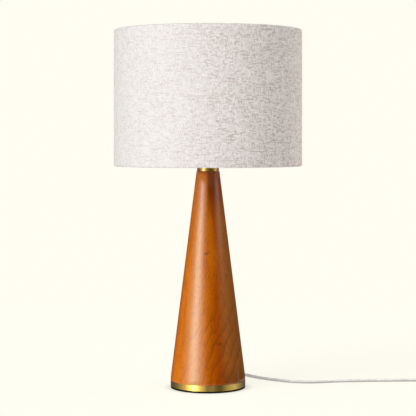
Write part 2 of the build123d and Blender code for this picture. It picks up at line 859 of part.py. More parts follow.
bushing_side = [
    (0, barb_y - 2 * bushing_barb),
    (bushing_r, barb_y - 2 * bushing_barb),
    (bushing_r + bushing_barb, barb_y - bushing_barb),
    (bushing_r, barb_y - bushing_barb / 2),
    (bushing_r, bushing_seat_y),
    (bushing_flange_r, bushing_seat_y),
    (bushing_flange_r, flange_out),
    (relief_root_r, flange_out),
]
for groove in range(relief_grooves):
    middle = (groove + 1) * groove_pitch
    near = middle - groove_pitch / 5
    far = middle + groove_pitch / 5
    bushing_side.append((relief_radius(near), flange_out + near))
    bushing_side.append((relief_radius(near) - relief_groove, flange_out + near))
    bushing_side.append((relief_radius(far) - relief_groove, flange_out + far))
    bushing_side.append((relief_radius(far), flange_out + far))
bushing_side += [(relief_tip_r, relief_end), (0, relief_end)]

with BuildPart() as cord_bushing:
    with BuildSketch(Plane(origin=(0, 0, cord_z), x_dir=(1, 0, 0), z_dir=(0, 0, 1))):
        with BuildLine():
            Polyline(*bushing_side, close=True)
        make_face()
    revolve(axis=Axis((0, 0, cord_z), (0, 1, 0)))
    with BuildSketch(rear_plane(0)):
        Circle(cord_r + seat_gap)
    extrude(amount=2 * relief_end, mode=Mode.SUBTRACT)
cord_bushing.part.label = "cord_bushing"
export_step(cord_bushing.part, "parts/cord_bushing.step")

# Level through the bushing, down under the nut and up the pipe to the socket.
cord_top = hub_ceiling + seat_gap
inner_route = [
    (0, relief_end, cord_z),
    (0, 33, cord_z),
    (0, 14, 7.6),
    (0, 0, 12.2),
    (0, 0, cord_top),
]
inner_cord, inner_length = tube(inner_route, cord_r)
inner_cord.part.label = "inner_cord"
export_step(inner_cord.part, "parts/inner_cord.step")

# The two leads part above the cord's end and reach up to the terminals.
terminal_x = terminal_flat_x + terminal_head_t / 2
lead_end = terminal_z - terminal_head_r - seat_gap
for side, name in ((-1, "neutral_lead"), (1, "live_lead")):
    lead_route = [
        (side * lead_split, 0, cord_top),
        (side * lead_split, 0, cord_top + 2.2),
        (side * terminal_x, 0, cord_top + 7.0),
        (side * terminal_x, 0, lead_end),
    ]
    lead, lead_length = tube(lead_route, lead_r)
    lead.part.label = name
    export_step(lead.part, f"parts/{name}.step")

# ---------------------------------------------------------------- free cord

floor_z = cord_r + table_gap
coil_z = cord_r + coil_lift
coil_outer_r = coil_middle_r + coil_pitch * coil_spiral / 4
coil_inner_r = coil_middle_r - coil_pitch * coil_spiral / 4
coil_x = 424.0
coil_front = 58.0  # where the cord enters the coil, at its near side
coil_centre = Vector(coil_x, coil_front + coil_outer_r, 0)
lead_straight = 2 * cord_r

run_route = [
    (0, relief_end, cord_z),
    (0, 105, cord_z),
    (5, 122, 12.4),
    (20, 136, 4.4),
    (42, 139.5, floor_z),
    (62, 125.5, floor_z),
    (84, 92, floor_z),
    (115, 64, floor_z),
    (150, 41, floor_z),
    (185, 35, floor_z),
    (220, 46, floor_z),
    (262, 51.5, floor_z),
    (318, 55.5, floor_z),
    (370, 57.4, floor_z),
    (402, coil_front, coil_z),
    (coil_x - lead_straight, coil_front, coil_z),
]
cord_run, run_length = tube(run_route, cord_r)
cord_run.part.label = "cord_run"
export_step(cord_run.part, "parts/cord_run.step")

# Half turn after half turn: each layer winds in or out at a steady rate for three half
# turns, and the fourth climbs to the next layer where the winding reverses.
layer_half_turns = coil_spiral + 1


def coil_station(k):
    """Point and direction of travel after k half turns, starting at the near side."""
    layer, step = divmod(k, layer_half_turns)
    inward = layer % 2 == 0
    wound = min(step, coil_spiral) * coil_pitch / 2
    radius = coil_outer_r - wound if inward else coil_inner_r + wound
    angle = math.radians(k * 180 - 90)
    out = Vector(math.cos(angle), math.sin(angle), 0)
    along = Vector(-math.sin(angle), math.cos(angle), 0)
    return coil_centre + out * radius + Vector(0, 0, coil_z + layer * coil_step), along


with BuildPart() as cord_coil:
    with BuildLine() as turns:
        entry, entry_way = coil_station(0)
        Line(entry - entry_way * lead_straight, entry)
        for k in range(coil_half_turns):
            here, way = coil_station(k)
            there, _ = coil_station(k + 1)
            if (k + 1) % layer_half_turns:
                TangentArc(here, there, tangent=way)
            else:
                middle = (here + there) / 2 + way * ((there - here).length / 2)
                TangentArc(here, middle, tangent=way)
                TangentArc(middle, there, tangent=there - here)
        leave, leave_way = coil_station(coil_half_turns)
        Line(leave, leave + leave_way * lead_straight)
    coil_path = turns.wire()
    with BuildSketch(Plane(origin=coil_path @ 0, z_dir=coil_path % 0)):
        Circle(cord_r)
    sweep(path=coil_path)
cord_coil.part.label = "cord_coil"
export_step(cord_coil.part, "parts/cord_coil.step")

# The tie goes round all the turns at the far side of the coil.
tie_clear = cord_r + turn_gap
tie_slip = coil_inner_r - math.sqrt(coil_inner_r**2 - (tie_w / 2) ** 2)
tie_near = coil_centre.Y + coil_inner_r - tie_slip - tie_clear
tie_far = coil_centre.Y + coil_outer_r + tie_clear
tie_low = coil_z - cord_r - turn_gap / 2
tie_high = coil_z + (coil_layers - 1) * coil_step + tie_clear
tie_plane = Plane(
    origin=(coil_x, (tie_near + tie_far) / 2, (tie_low + tie_high) / 2),
    x_dir=(0, 1, 0),
    z_dir=(1, 0, 0),
)
with BuildPart() as cord_tie:
    with BuildSketch(tie_plane):
        RectangleRounded(tie_far - tie_near + 2 * tie_t, tie_high - tie_low + 2 * tie_t, cord_r)
        RectangleRounded(
            tie_far - tie_near, tie_high - tie_low, cord_r - tie_t, mode=Mode.SUBTRACT
        )
    extrude(amount=tie_w / 2, both=True)
cord_tie.part.label = "cord_tie"
export_step(cord_tie.part, "parts/cord_tie.step")

plug_axis_z = plug_t / 2 + table_gap
tail_start, tail_way = coil_station(coil_half_turns)
tail_start = tail_start + tail_way * lead_straight
tail_route = [
    tuple(tail_start),
    (tail_start.X + 14, tail_start.Y, tail_start.Z),
    (tail_start.X + 36, tail_start.Y + 4, tail_start.Z - 8.6),
    (tail_start.X + 55, tail_start.Y + 12.5, plug_axis_z),
    (tail_start.X + 70, tail_start.Y + 22, plug_axis_z),
]
cord_tail, tail_length = tube(tail_route, cord_r)
cord_tail.part.label = "cord_tail"
export_step(cord_tail.part, "parts/cord_tail.step")

# ---------------------------------------------------------------- plug

plug_way = (Vector(*tail_route[-1]) - Vector(*tail_route[-2])).normalized()
plug_x_dir = Vector(-plug_way.Y, plug_way.X, 0)
plug_start = Vector(*tail_route[-1])


def plug_plane(along):
    """Plane across the plug at this distance from the end of the cord."""
    return Plane(origin=plug_start + plug_way * along, x_dir=plug_x_dir, z_dir=plug_way)


plug_face = plug_shoulder + plug_l
with BuildPart() as plug_body:
    with BuildSketch(plug_plane(0)):
        Circle(plug_root_r)
    with BuildSketch(plug_plane(plug_shoulder)):
        RectangleRounded(plug_w, plug_t, plug_corner)
    loft()
    with BuildSketch(plug_plane(plug_shoulder)):
        RectangleRounded(plug_w, plug_t, plug_corner)
    extrude(amount=plug_l)
    front = plug_body.faces().sort_by_distance(plug_plane(plug_face).origin)[0]
    fillet(front.edges(), plug_edge)
    for side, width in zip((-1, 1), blade_widths):
        with BuildSketch(plug_plane(plug_face - blade_in)):
            with Locations((side * blade_gauge / 2, 0)):
                Rectangle(blade_t + 2 * seat_gap, width + 2 * seat_gap)
        extrude(amount=blade_in, mode=Mode.SUBTRACT)
plug_body.part.label = "plug_body"
export_step(plug_body.part, "parts/plug_body.step")

with BuildPart() as plug_blades:
    for side, width in zip((-1, 1), blade_widths):
        with BuildSketch(plug_plane(plug_face - blade_in)):
            with Locations((side * blade_gauge / 2, 0)):
                Rectangle(blade_t, width)
        extrude(amount=blade_in + blade_l)
    hole_at = plug_start + plug_way * (plug_face + blade_l - 2 * blade_hole_r)
    with BuildSketch(Plane(origin=hole_at, x_dir=plug_way, z_dir=plug_x_dir)):
        Circle(blade_hole_r)
    extrude(amount=blade_gauge, both=True, mode=Mode.SUBTRACT)
plug_blades.part.label = "plug_blades"
export_step(plug_blades.part, "parts/plug_blades.step")

# ---------------------------------------------------------------- what the cord measures


def least_gap(path, thickness, spacing=2.0):
    """Least clear distance between stretches of one tube that aren't next to each other."""
    count = int(path.length / spacing)
    points = [path @ (i / count) for i in range(count + 1)]
    apart = int(2.5 * thickness / spacing) + 1
    nearest = min(
        (points[i] - points[j]).length
        for i in range(len(points))
        for j in range(i + apart, len(points))
    )
    return nearest - thickness


cord_section = math.pi * cord_r**2
for name, piece, length in (
    ("inner_cord", inner_cord, inner_length),
    ("cord_run", cord_run, run_length),
    ("cord_coil", cord_coil, coil_path.length),
    ("cord_tail", cord_tail, tail_length),
):
    share = piece.part.volume / (cord_section * length)
    print(f"{name}: {length:.1f} mm, volume over section times length {share:.4f}")
for name, route in (("inner_cord", inner_route), ("cord_run", run_route), ("cord_tail", tail_route)):
    print(name, "radii", " ".join(f"{r:.0f}" for r in corner_radii(route)))
free_length = run_length + coil_path.length + tail_length
print(f"free cord: {free_length:.0f} mm")
print(f"cord_coil: least gap to itself {least_gap(coil_path, 2 * cord_r):.2f} mm")
print(f"shade from {shade_bottom:.1f} to {shade_top:.1f}, column top {column_top:.1f}")
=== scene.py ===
"""Looks of a column table lamp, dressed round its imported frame.

Metres, +Z up. The origin is on the table under the column's axis and -Y is the lamp's front.
"""

import logging
import math
from dataclasses import dataclass
from enum import Enum
from functools import partialmethod
from typing import ClassVar

import bmesh
import bpy
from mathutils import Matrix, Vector, noise


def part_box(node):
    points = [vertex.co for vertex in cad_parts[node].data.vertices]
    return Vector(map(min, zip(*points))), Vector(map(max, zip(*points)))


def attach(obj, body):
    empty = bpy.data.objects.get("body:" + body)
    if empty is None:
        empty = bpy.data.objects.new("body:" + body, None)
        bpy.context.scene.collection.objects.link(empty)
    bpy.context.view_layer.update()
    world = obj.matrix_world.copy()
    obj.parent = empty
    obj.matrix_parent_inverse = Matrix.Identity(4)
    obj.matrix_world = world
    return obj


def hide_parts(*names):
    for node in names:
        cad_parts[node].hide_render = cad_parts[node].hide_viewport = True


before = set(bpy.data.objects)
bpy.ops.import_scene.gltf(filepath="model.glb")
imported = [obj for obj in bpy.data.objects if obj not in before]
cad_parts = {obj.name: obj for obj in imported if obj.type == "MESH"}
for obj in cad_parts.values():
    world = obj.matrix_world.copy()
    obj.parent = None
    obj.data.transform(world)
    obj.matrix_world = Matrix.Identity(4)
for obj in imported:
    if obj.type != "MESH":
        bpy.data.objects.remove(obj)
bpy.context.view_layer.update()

MM = 0.001
NOISE_MEAN = 0.5
LOG = logging.getLogger("table_lamp")

Point = tuple[float, float, float]
Colour = tuple[float, float, float]
Pair = tuple[float, float]
Outline = list[Pair]
Output = bpy.types.NodeSocket
# Rising places and the level at each.
Levels = tuple[Pair, ...]
Inputs = dict[str, object]
# Where a spread starts and ends, and what it gives there, which is 0 and 1 if nothing is said.
Spread = tuple[float, ...]
# The size of a noise's grains along each axis, its detail, its roughness and its warp.
Grain = tuple[object, ...]


# -------- shader nodes


class Nodes:
    """Short names for the shader nodes that the finishes and the studio share."""

    def __init__(self, tree: bpy.types.NodeTree) -> None:
        """Keeps the node tree that is to be filled."""
        self.tree = tree

    def feed(self, socket: bpy.types.NodeSocket, value: object) -> None:
        """Links or sets one input.

        Args:
            socket: the input.
            value: another node's output, a number, a colour or a vector.
        """
        if isinstance(value, Output):
            self.tree.links.new(value, socket)
        elif socket.type == "RGBA":
            socket.default_value = (*value, 1.0)
        else:
            socket.default_value = value

    def add(self, kind: str, sockets: dict | None = None, **options: object) -> bpy.types.Node:
        """Adds one node.

        Args:
            kind: Blender's name of the node, without its ShaderNode prefix.
            sockets: what goes into its inputs, by their name or place.
            options: the node's own settings.

        Returns:
            The new node.
        """
        node = self.tree.nodes.new("ShaderNode" + kind)
        for key, value in options.items():
            setattr(node, key, value)
        for key, value in (sockets or {}).items():
            self.feed(node.inputs[key], value)
        return node

    def place(self) -> Output:
        """Returns the point's place in the lamp's own frame."""
        return self.add("TexCoord").outputs["Object"]

    def math(self, operation: str, a: object, b: object = 0.0) -> Output:
        """Returns the result of one sum on one or two values."""
        return self.add("Math", {0: a, 1: b}, operation=operation).outputs[0]

    plus = partialmethod(math, "ADD")
    minus = partialmethod(math, "SUBTRACT")
    times = partialmethod(math, "MULTIPLY")

    def vector(self, operation: str, *vectors: object) -> Output:
        """Returns the vector that one operation gives."""
        return self.add("VectorMath", dict(enumerate(vectors)), operation=operation).outputs[0]

    stretch = partialmethod(vector, "MULTIPLY")

    def length(self, vector: object) -> Output:
        """Returns how long a vector is."""
        return self.add("VectorMath", {0: vector}, operation="LENGTH").outputs["Value"]

    def parts(self, vector: object) -> tuple[Output, ...]:
        """Returns a vector's values along the three axes."""
        return tuple(self.add("SeparateXYZ", {0: vector}).outputs)

    def joined(self, *parts: object) -> Output:
        """Returns the vector with these values along its first axes."""
        return self.add("CombineXYZ", dict(enumerate(parts))).outputs[0]

    def noise(self, vector: object, *look: float, output: str = "Fac") -> Output:
        """Returns soft noise from 0 to 1 with features about one unit across.

        Args:
            vector: where it is read.
            look: how many finer layers it has, how strong they are, and how far it is distorted.
            output: its value (Fac) or a vector of three values (Color).

        Returns:
            The noise's value.
        """
        sockets = {"Vector": vector, "Scale": 1.0, "Roughness": 0.5, "Distortion": 0.0}
        sockets.update(zip(("Detail", "Roughness", "Distortion"), look))
        return self.add("TexNoise", sockets).outputs[output]

    def grain(self, vector: object, size: Point, *look: float, output: str = "Fac") -> Output:
        """Returns soft noise whose features are about this size."""
        cells = self.stretch(vector, tuple(1.0 / side for side in size))
        return self.noise(cells, *look, output=output)

    def spread(
        self, value: object, low: float, high: float, to_low: float = 0.0, to_high: float = 1.0
    ) -> Output:
        """Returns a value moved smoothly from one range to another and held at its ends."""
        sockets = {0: value, 1: low, 2: high, 3: to_low, 4: to_high}
        return self.add("MapRange", sockets, interpolation_type="SMOOTHSTEP").outputs[0]

    def ramp(self, value: object, stops: Levels) -> Output:
        """Looks up a grey level.

        Args:
            value: a number from 0 to 1.
            stops: places from 0 to 1 and the level at each.

        Returns:
            The level, as a colour.
        """
        node = self.add("ValToRGB", {0: value})
        elements = node.color_ramp.elements
        while len(elements) < len(stops):
            elements.new(1.0)
        for element, (at, level) in zip(elements, stops):
            element.position = at
            element.color = (level, level, level, 1.0)
        return node.outputs[0]

    def mix(self, share: object, a: object, b: object, blend: str = "MIX") -> Output:
        """Returns two colours mixed by a share."""
        sockets = {0: share, 6: a, 7: b}
        return self.add("Mix", sockets, data_type="RGBA", blend_type=blend).outputs[2]

    def unroll(self, vector: object, radius: float) -> Output:
        """Unrolls a turned surface, with its join at the back.

        Args:
            vector: the place in the lamp's frame.
            radius: the radius at which lengths round the axis are true.

        Returns:
            Length round the axis and height, in metres.
        """
        x, y, z = self.parts(vector)
        turn = self.math("ARCTAN2", x, self.times(y, -1.0))
        return self.joined(self.times(turn, radius), z)

    def bump(self, height: object, distance: float) -> Output:
        """Returns a normal that follows a height, of which 1 is this distance."""
        sockets = {"Height": height, "Distance": distance, "Strength": 1.0}
        return self.add("Bump", sockets).outputs[0]


# -------- finishes


@dataclass(frozen=True)
class Finish:
    """What a piece is made of. Its material is made when it is first asked for."""

    name: str
    made: ClassVar[dict[str, bpy.types.Material]] = {}

    def material(self) -> bpy.types.Material:
        """Makes the material once.

        Returns:
            The finish's material.
        """
        if self.name not in Finish.made:
            material = bpy.data.materials.new(self.name)
            material.use_nodes = True
            Finish.made[self.name] = material
            nodes = Nodes(material.node_tree)
            shader = material.node_tree.nodes["Principled BSDF"]
            for socket, value in self.surface(nodes).items():
                nodes.feed(shader.inputs[socket], value)
        return Finish.made[self.name]

    def surface(self, n: Nodes) -> Inputs:
        """Returns what goes into the surface shader, by the names of its inputs."""
        raise NotImplementedError


class Brushing(Enum):
    """Which way the fine lines of a metal piece run."""

    AROUND = "around the lamp's axis"
    DRAWN = "in no one direction"


@dataclass(frozen=True)
class Brass(Finish):
    """Lacquered brass with fine lines, a little tarnish and small changes of gloss."""

    bright: Colour = (0.90, 0.59, 0.055)
    deep: Colour = (0.70, 0.38, 0.02)
    gloss: float = 0.24
    brushing: Brushing = Brushing.DRAWN
    radius: float = 0.02
    line_depth: float = 0.000004
    turned_line: Grain = ((0.024, 0.00016, 1.0), 3.0, 0.6)
    turned_streak: Grain = ((0.012, 0.0011, 1.0), 2.0)
    turned_stretch: float = 0.72
    drawn_line: Grain = ((0.0007, 0.0007, 0.003), 3.0, 0.6)
    drawn_streak: Grain = ((0.009, 0.009, 0.02), 2.0)
    tarnish: Grain = ((0.017, 0.017, 0.011), 4.0, 0.62, 0.4)
    worn: Spread = (0.85, 1.35, 0.0, 0.7)
    lined: Spread = (0.35, 0.75, 0.0, 0.3)

    def surface(self, n: Nodes) -> Inputs:
        """Returns the inputs of brushed or drawn brass.

        Args:
            n: the material's nodes.

        Returns:
            The shader's inputs, by name.
        """
        place = n.place()
        if self.brushing is Brushing.AROUND:
            unrolled = n.unroll(place, self.radius)
            lines = n.grain(unrolled, *self.turned_line)
            streaks = n.grain(unrolled, *self.turned_streak)
            stretched = self.turned_stretch
        else:
            lines = n.grain(place, *self.drawn_line)
            streaks = n.grain(place, *self.drawn_streak)
            stretched = 0.0
        worn = n.spread(n.plus(streaks, n.grain(place, *self.tarnish)), *self.worn)
        colour = n.mix(worn, self.bright, self.deep)
        return {
            "Base Color": n.mix(n.spread(lines, *self.lined), colour, self.deep),
            "Metallic": 1.0,
            "Roughness": n.spread(streaks, 0.3, 0.75, self.gloss * 0.8, self.gloss * 1.35),
            "Anisotropic": stretched,
            "Anisotropic Rotation": 0.25,
            "Tangent": n.add("Tangent", direction_type="RADIAL", axis="Z").outputs[0],
            "Coat Weight": 1.0, "Coat IOR": 1.7, "Coat Roughness": 0.09,
            "Normal": n.bump(lines, self.line_depth),
        }


@dataclass(frozen=True)
class TurnedWood(Finish):
    """Stained, lacquered wood turned about the lamp's axis, grain upright, with painted light in
    its colour.
    """

    pale: Colour = (0.92, 0.245, 0.005)
    body: Colour = (0.74, 0.170, 0.003)
    # Painted highlight: a yellower tint under the highlight on the left.
    highlight_tint: Colour = (0.84, 0.300, 0.008)
    # Painted shade down the lamp's right side, where little light falls.
    painted_right_shade: Colour = (0.68, 0.125, 0.001)
    # Painted reflection of the light on the right: a greyer colour below the neck.
    fill_reflection_tint: Colour = (0.78, 0.225, 0.005)
    # Dark wood for rings, fibres, pores and knots, and also for painted shade near the neck and
    # the foot.
    dark: Colour = (0.24, 0.040, 0.001)

    # By height.
    low: Spread = (0.19, 0.10)
    high: Spread = (0.285, 0.352)
    # Painted shade: the wood darkens in the last few millimetres under the neck ring.
    painted_neck_shade: Spread = (0.3715, 0.3792, 0.0, 0.5)
    # Painted shade: the wood darkens towards the foot on the right.
    foot: Spread = (0.055, 0.018)
    # Around this height the painted shade on the right starts further right.
    waist: float = 0.236
    waist_reach: float = 0.10
    waist_shift: float = 0.22

    # By the sine of the angle from the front towards the right. Most of these place painted light:
    # shade, a reflection and a highlight tint.
    # Where the painted shade on the right begins and where it is full.
    painted_right_shade_edge: Spread = (-0.08, 0.30)
    # Where the dark painted shade near the neck begins and ends on the right.
    upper_shade_edge: Spread = (-0.24, 0.04)
    upper_shade_end: Spread = (0.72, 0.42, 0.1, 0.8)
    # Where the painted reflection on the far right begins and where it is full.
    fill_reflection_edge: Spread = (0.34, 0.62)
    # Where the painted shade at the foot begins on the right, and its share.
    foot_shade_edge: Spread = (0.10, 0.55, 0.0, 0.4)
    ringed_edge: Spread = (-0.30, 0.10, 0.05, 0.34)
    # The painted highlight tint: its place, its reach and its share, which drops near the neck.
    highlight_tint_turn: float = -0.42
    highlight_tint_reach: Spread = (0.36, 0.05)
    highlight_tint_share: float = 0.9
    waver: float = 0.3

    cloud: Grain = ((0.035, 0.035, 0.13), 3.0, 0.55, 0.3)
    fibre: Grain = ((0.0011, 0.0011, 0.09), 4.0, 0.65)
    pore: Grain = ((0.0005, 0.0005, 0.011), 1.0)
    fleck: Grain = ((0.004, 0.004, 0.016), 3.0, 0.6, 0.5)
    clouded: Spread = (0.3, 0.72)
    pore_edge: Spread = (0.60, 0.74)
    fibre_dark: Spread = (0.42, 0.75, 0.0, 0.45)
    fleck_dark: Spread = (0.56, 0.74, 0.0, 0.40)
    pore_dark: float = 0.5
    gloss: Spread = (0.3, 0.7, 0.42, 0.56)
    fibre_relief: float = 0.5
    pore_relief: float = -0.6
    relief: float = 0.00006
    lacquer_relief: float = 0.000012

    # The growth rings: where their middle is, how they lean, wander and change in width.
    pith: Point = (-0.115, -0.055, 0.0)
    lean: float = -0.5
    lean_top: float = 0.15
    ring: float = 0.017
    season: Levels = ((0.0, 0.1), (0.62, 0.35), (0.90, 1.0), (1.0, 0.1))
    wander: Grain = ((0.055, 0.055, 0.30), 2.0)
    drift: Point = (0.016, 0.016, 0.0)
    years: Grain = ((0.02, 0.02, 0.1), 2.0)
    year_shift: float = 0.03

    pin_knot: Point = (-0.0034, -0.033, 0.2366)
    pin_dark: Spread = (0.006, 0.0, 0.0, 0.85)
    knot: Point = (0.02, -0.055, 0.083)
    knot_dark: Spread = (0.007, 0.0, 0.0, 0.7)
    knot_ringed: Spread = (0.0, 1.0, 0.08, 0.20)
    knot_form: Point = (1.0, 0.3, 1.5)
    swell: float = 0.006
    swell_reach: float = 0.04

    def surface(self, n: Nodes) -> Inputs:
        """Returns the inputs of turned wood: growth rings, fibres, pores, knots, stained colour
        and painted light.

        Args:
            n: the material's nodes.

        Returns:
            The shader's inputs, by name.
        """
        place = n.place()
        height = n.parts(place)[2]
        high = n.spread(height, *self.high)
        cloud = n.grain(place, *self.cloud)
        fibre = n.grain(place, *self.fibre)
        pore = n.spread(n.grain(place, *self.pore), *self.pore_edge)
        fleck = n.grain(place, *self.fleck)
        turned = n.parts(n.vector("NORMALIZE", n.stretch(place, (1.0, 1.0, 0.0))))[0]
        colour = self._stain_and_painted_light(n, turned, height, cloud, high)

        ring, near_knot = self._rings(n, place)
        ringed = n.times(n.spread(height, *self.low), n.spread(turned, *self.ringed_edge))
        ring_share = n.plus(ringed, n.spread(near_knot, *self.knot_ringed))
        darker = (
            n.times(ring, ring_share),
            n.spread(fibre, *self.fibre_dark),
            n.spread(fleck, *self.fleck_dark),
            n.times(pore, self.pore_dark),
            n.spread(self._away(n, place, self.pin_knot), *self.pin_dark),
            n.spread(self._away(n, place, self.knot), *self.knot_dark),
            # Painted shade just under the neck ring.
            n.spread(height, *self.painted_neck_shade),
        )
        for share in darker:
            colour = n.mix(share, colour, self.dark)
        relief = n.plus(n.times(fibre, self.fibre_relief), n.times(pore, self.pore_relief))
        return {
            "Base Color": colour,
            "Roughness": n.spread(fibre, *self.gloss),
            "Specular IOR Level": 0.0,
            "Coat Weight": 1.0, "Coat IOR": 1.85, "Coat Roughness": 0.13,
            "Normal": n.bump(relief, self.relief),
            "Coat Normal": n.bump(relief, self.lacquer_relief),
        }

    def _stain_and_painted_light(
        self, n: Nodes, turned: object, height: object, cloud: object, high: object
    ) -> Output:
        """Returns the stained colour, with painted shade and a painted reflection on the right and
        a painted highlight on the left.

        Args:
            n: the material's nodes.
            turned: the sine of the angle from the front towards the right.
            height: the height over the table.
            cloud: slow noise.
            high: 1 near the neck and 0 further down.

        Returns:
            The colour before rings and fibres.
        """
        wavy = n.plus(turned, n.times(n.minus(cloud, NOISE_MEAN), self.waver))
        # Painted shade on the right, whose edge wavers with the clouds and moves right around the
        # waist.
        from_waist = n.math("ABSOLUTE", n.minus(height, self.waist))
        inner = n.minus(wavy, n.spread(from_waist, self.waist_reach, 0.0, 0.0, self.waist_shift))
        # Painted highlight tint on the left, weaker near the neck.
        from_highlight_tint = n.math("ABSOLUTE", n.minus(wavy, self.highlight_tint_turn))
        highlight_tinted = n.times(
            n.spread(from_highlight_tint, *self.highlight_tint_reach), n.minus(self.highlight_tint_share, high)
        )
        # Painted shade on the right near the neck.
        deep = n.times(n.spread(wavy, *self.upper_shade_edge), n.spread(wavy, *self.upper_shade_end))
        # Painted shade on the right near the foot.
        foot = n.times(n.spread(height, *self.foot), n.spread(wavy, *self.foot_shade_edge))
        # Painted reflection on the far right, fading out towards the neck.
        fill_reflection_tint = n.times(n.spread(wavy, *self.fill_reflection_edge), n.minus(1.0, high))
        colour = n.mix(n.spread(cloud, *self.clouded), self.pale, self.body)
        # The painted highlight, shade and reflection go over the stained colour in turn.
        for share, painted_tone in (
            (n.math("MAXIMUM", highlight_tinted, 0.0), self.highlight_tint),
            (n.spread(inner, *self.painted_right_shade_edge), self.painted_right_shade),
            (n.times(deep, high), self.dark),
            (fill_reflection_tint, self.fill_reflection_tint),
            (foot, self.dark),
        ):
            colour = n.mix(share, colour, painted_tone)
        return colour

    def _rings(self, n: Nodes, place: object) -> tuple[Output, Output]:
        """Makes the growth rings, which lean near the foot.

        Args:
            n: the material's nodes.
            place: the place in the lamp's frame.

        Returns:
            How dark the season's wood is, and how near the knot is.
        """
        wander = n.grain(place, *self.wander, output="Color")
        moved = n.vector("ADD", place, n.stretch(wander, self.drift))
        x, y, z = n.parts(n.vector("SUBTRACT", moved, self.pith))
        leaned = n.plus(x, n.times(n.math("MINIMUM", z, self.lean_top), self.lean))
        distance = n.length(n.joined(leaned, y))
        near_knot = n.spread(self._away(n, place, self.knot), self.swell_reach, 0.0)
        distance = n.plus(distance, n.times(near_knot, self.swell))
        distance = n.plus(distance, n.times(n.grain(moved, *self.years), self.year_shift))
        season = n.math("FRACT", n.math("DIVIDE", distance, self.ring))
        return n.ramp(season, self.season), near_knot

    def _away(self, n: Nodes, place: object, spot: Point) -> Output:
        """Returns how far a point is from a knot, which is wider than it is high."""
        return n.length(n.stretch(n.vector("SUBTRACT", place, spot), self.knot_form))


@dataclass(frozen=True)
class Linen(Finish):
    """Plain-woven natural linen with thick and thin threads and a few dark specks."""

    thread: Colour = (0.67, 0.634, 0.605)
    light: Colour = (0.94, 0.918, 0.896)
    taupe: Colour = (0.44, 0.350, 0.275)
    mauve: Colour = (0.46, 0.378, 0.335)
    tan: Colour = (0.90, 0.80, 0.70)
    speck: Colour = (0.28, 0.22, 0.17)
    radius: float = 0.165
    pitch: float = 0.00062

    # How long a thick stretch is and how wide a thread, and each kind's shares of these.
    slub_long: float = 0.0108
    slub_thin: float = 0.0015
    across: Pair = (1.0, 1.0)
    upright: Pair = (0.7, 1.0)
    fine: Pair = (0.3, 0.8)
    faded: Pair = (1.6, 2.0)
    apart: float = 7.31
    look: Pair = (1.0, 0.45)

    # Painted shade: the slubs' contrast and relief grow towards the lamp's right, as where light
    # rakes across the weave.
    raking_shade: Spread = (-0.08, 0.12, 0.5, 1.45)
    across_edge: Spread = (0.57, 0.65)
    across_share: float = 0.33
    upright_edge: Spread = (0.59, 0.67)
    upright_share: float = 0.29
    thin_to_thick: Spread = (0.55, -0.55)
    tanned: Spread = (0.54, 0.62, 0.0, 0.25)
    dot: Grain = ((0.0024, 0.0019, 1.0), 0.0)
    dotted: Spread = (0.76, 0.83, 0.0, 0.7)
    weave_relief: float = 0.12
    thread_relief: float = 0.5
    relief: float = 0.0008

    def _threads(
        self, n: Nodes, along: object, across: object, size: Pair, seed: float
    ) -> Output:
        """Returns the thickness of threads that lie side by side, each uneven along its length.

        Args:
            n: the material's nodes.
            along: the place along the threads.
            across: the place across them.
            size: a thick stretch's length and a thread's width, as shares of the usual ones.
            seed: sets these threads apart from others.

        Returns:
            The thickness, from 0 to 1.
        """
        stretch = n.math("DIVIDE", along, self.slub_long * size[0])
        thread = n.math("FLOOR", n.math("DIVIDE", across, self.slub_thin * size[1]))
        return n.noise(n.joined(stretch, n.times(thread, self.apart), seed), *self.look)

    def surface(self, n: Nodes) -> Inputs:
        """Returns the inputs of linen: threads, slubs both ways, specks and the weave.

        Args:
            n: the material's nodes.

        Returns:
            The shader's inputs, by name.
        """
        place = n.place()
        cloth = n.unroll(place, self.radius)
        around, up, _ = n.parts(cloth)
        across = self._threads(n, around, up, self.across, 1.0)
        upright = self._threads(n, up, around, self.upright, 2.0)
        fine, faded = (
            n.plus(
                self._threads(n, around, up, size, seed),
                self._threads(n, up, around, size, seed + 1.0),
            )
            for size, seed in ((self.fine, 3.0), (self.faded, 5.0))
        )
        # Painted raking-light shade, stronger towards the lamp's right.
        raking_shade = n.spread(n.parts(place)[0], *self.raking_shade)
        across_mask = n.times(n.spread(across, *self.across_edge), raking_shade)
        upright_mask = n.times(n.spread(upright, *self.upright_edge), raking_shade)

        uneven = n.plus(n.plus(across, upright), fine)
        centred = n.times(n.minus(uneven, 4 * NOISE_MEAN), raking_shade)
        colour = n.mix(n.spread(centred, *self.thin_to_thick), self.thread, self.light)
        tanned = n.times(n.spread(n.times(faded, 0.5), *self.tanned), raking_shade)
        colour = n.mix(tanned, colour, self.tan, "MULTIPLY")
        colour = n.mix(n.times(across_mask, self.across_share), colour, self.taupe)
        colour = n.mix(n.times(upright_mask, self.upright_share), colour, self.mauve)
        colour = n.mix(n.spread(n.grain(cloth, *self.dot), *self.dotted), colour, self.speck)

        over, under, _ = n.parts(n.stretch(cloth, (math.pi / self.pitch,) * 3))
        weave = n.times(n.math("SINE", over), n.math("SINE", under))
        weave = n.times(weave, self.weave_relief)
        height = n.minus(weave, n.times(centred, self.thread_relief))
        return {
            "Base Color": colour,
            "Roughness": 0.88, "Specular IOR Level": 0.25,
            "Sheen Weight": 0.12, "Sheen Roughness": 0.45,
            "Normal": n.bump(height, self.relief),
        }


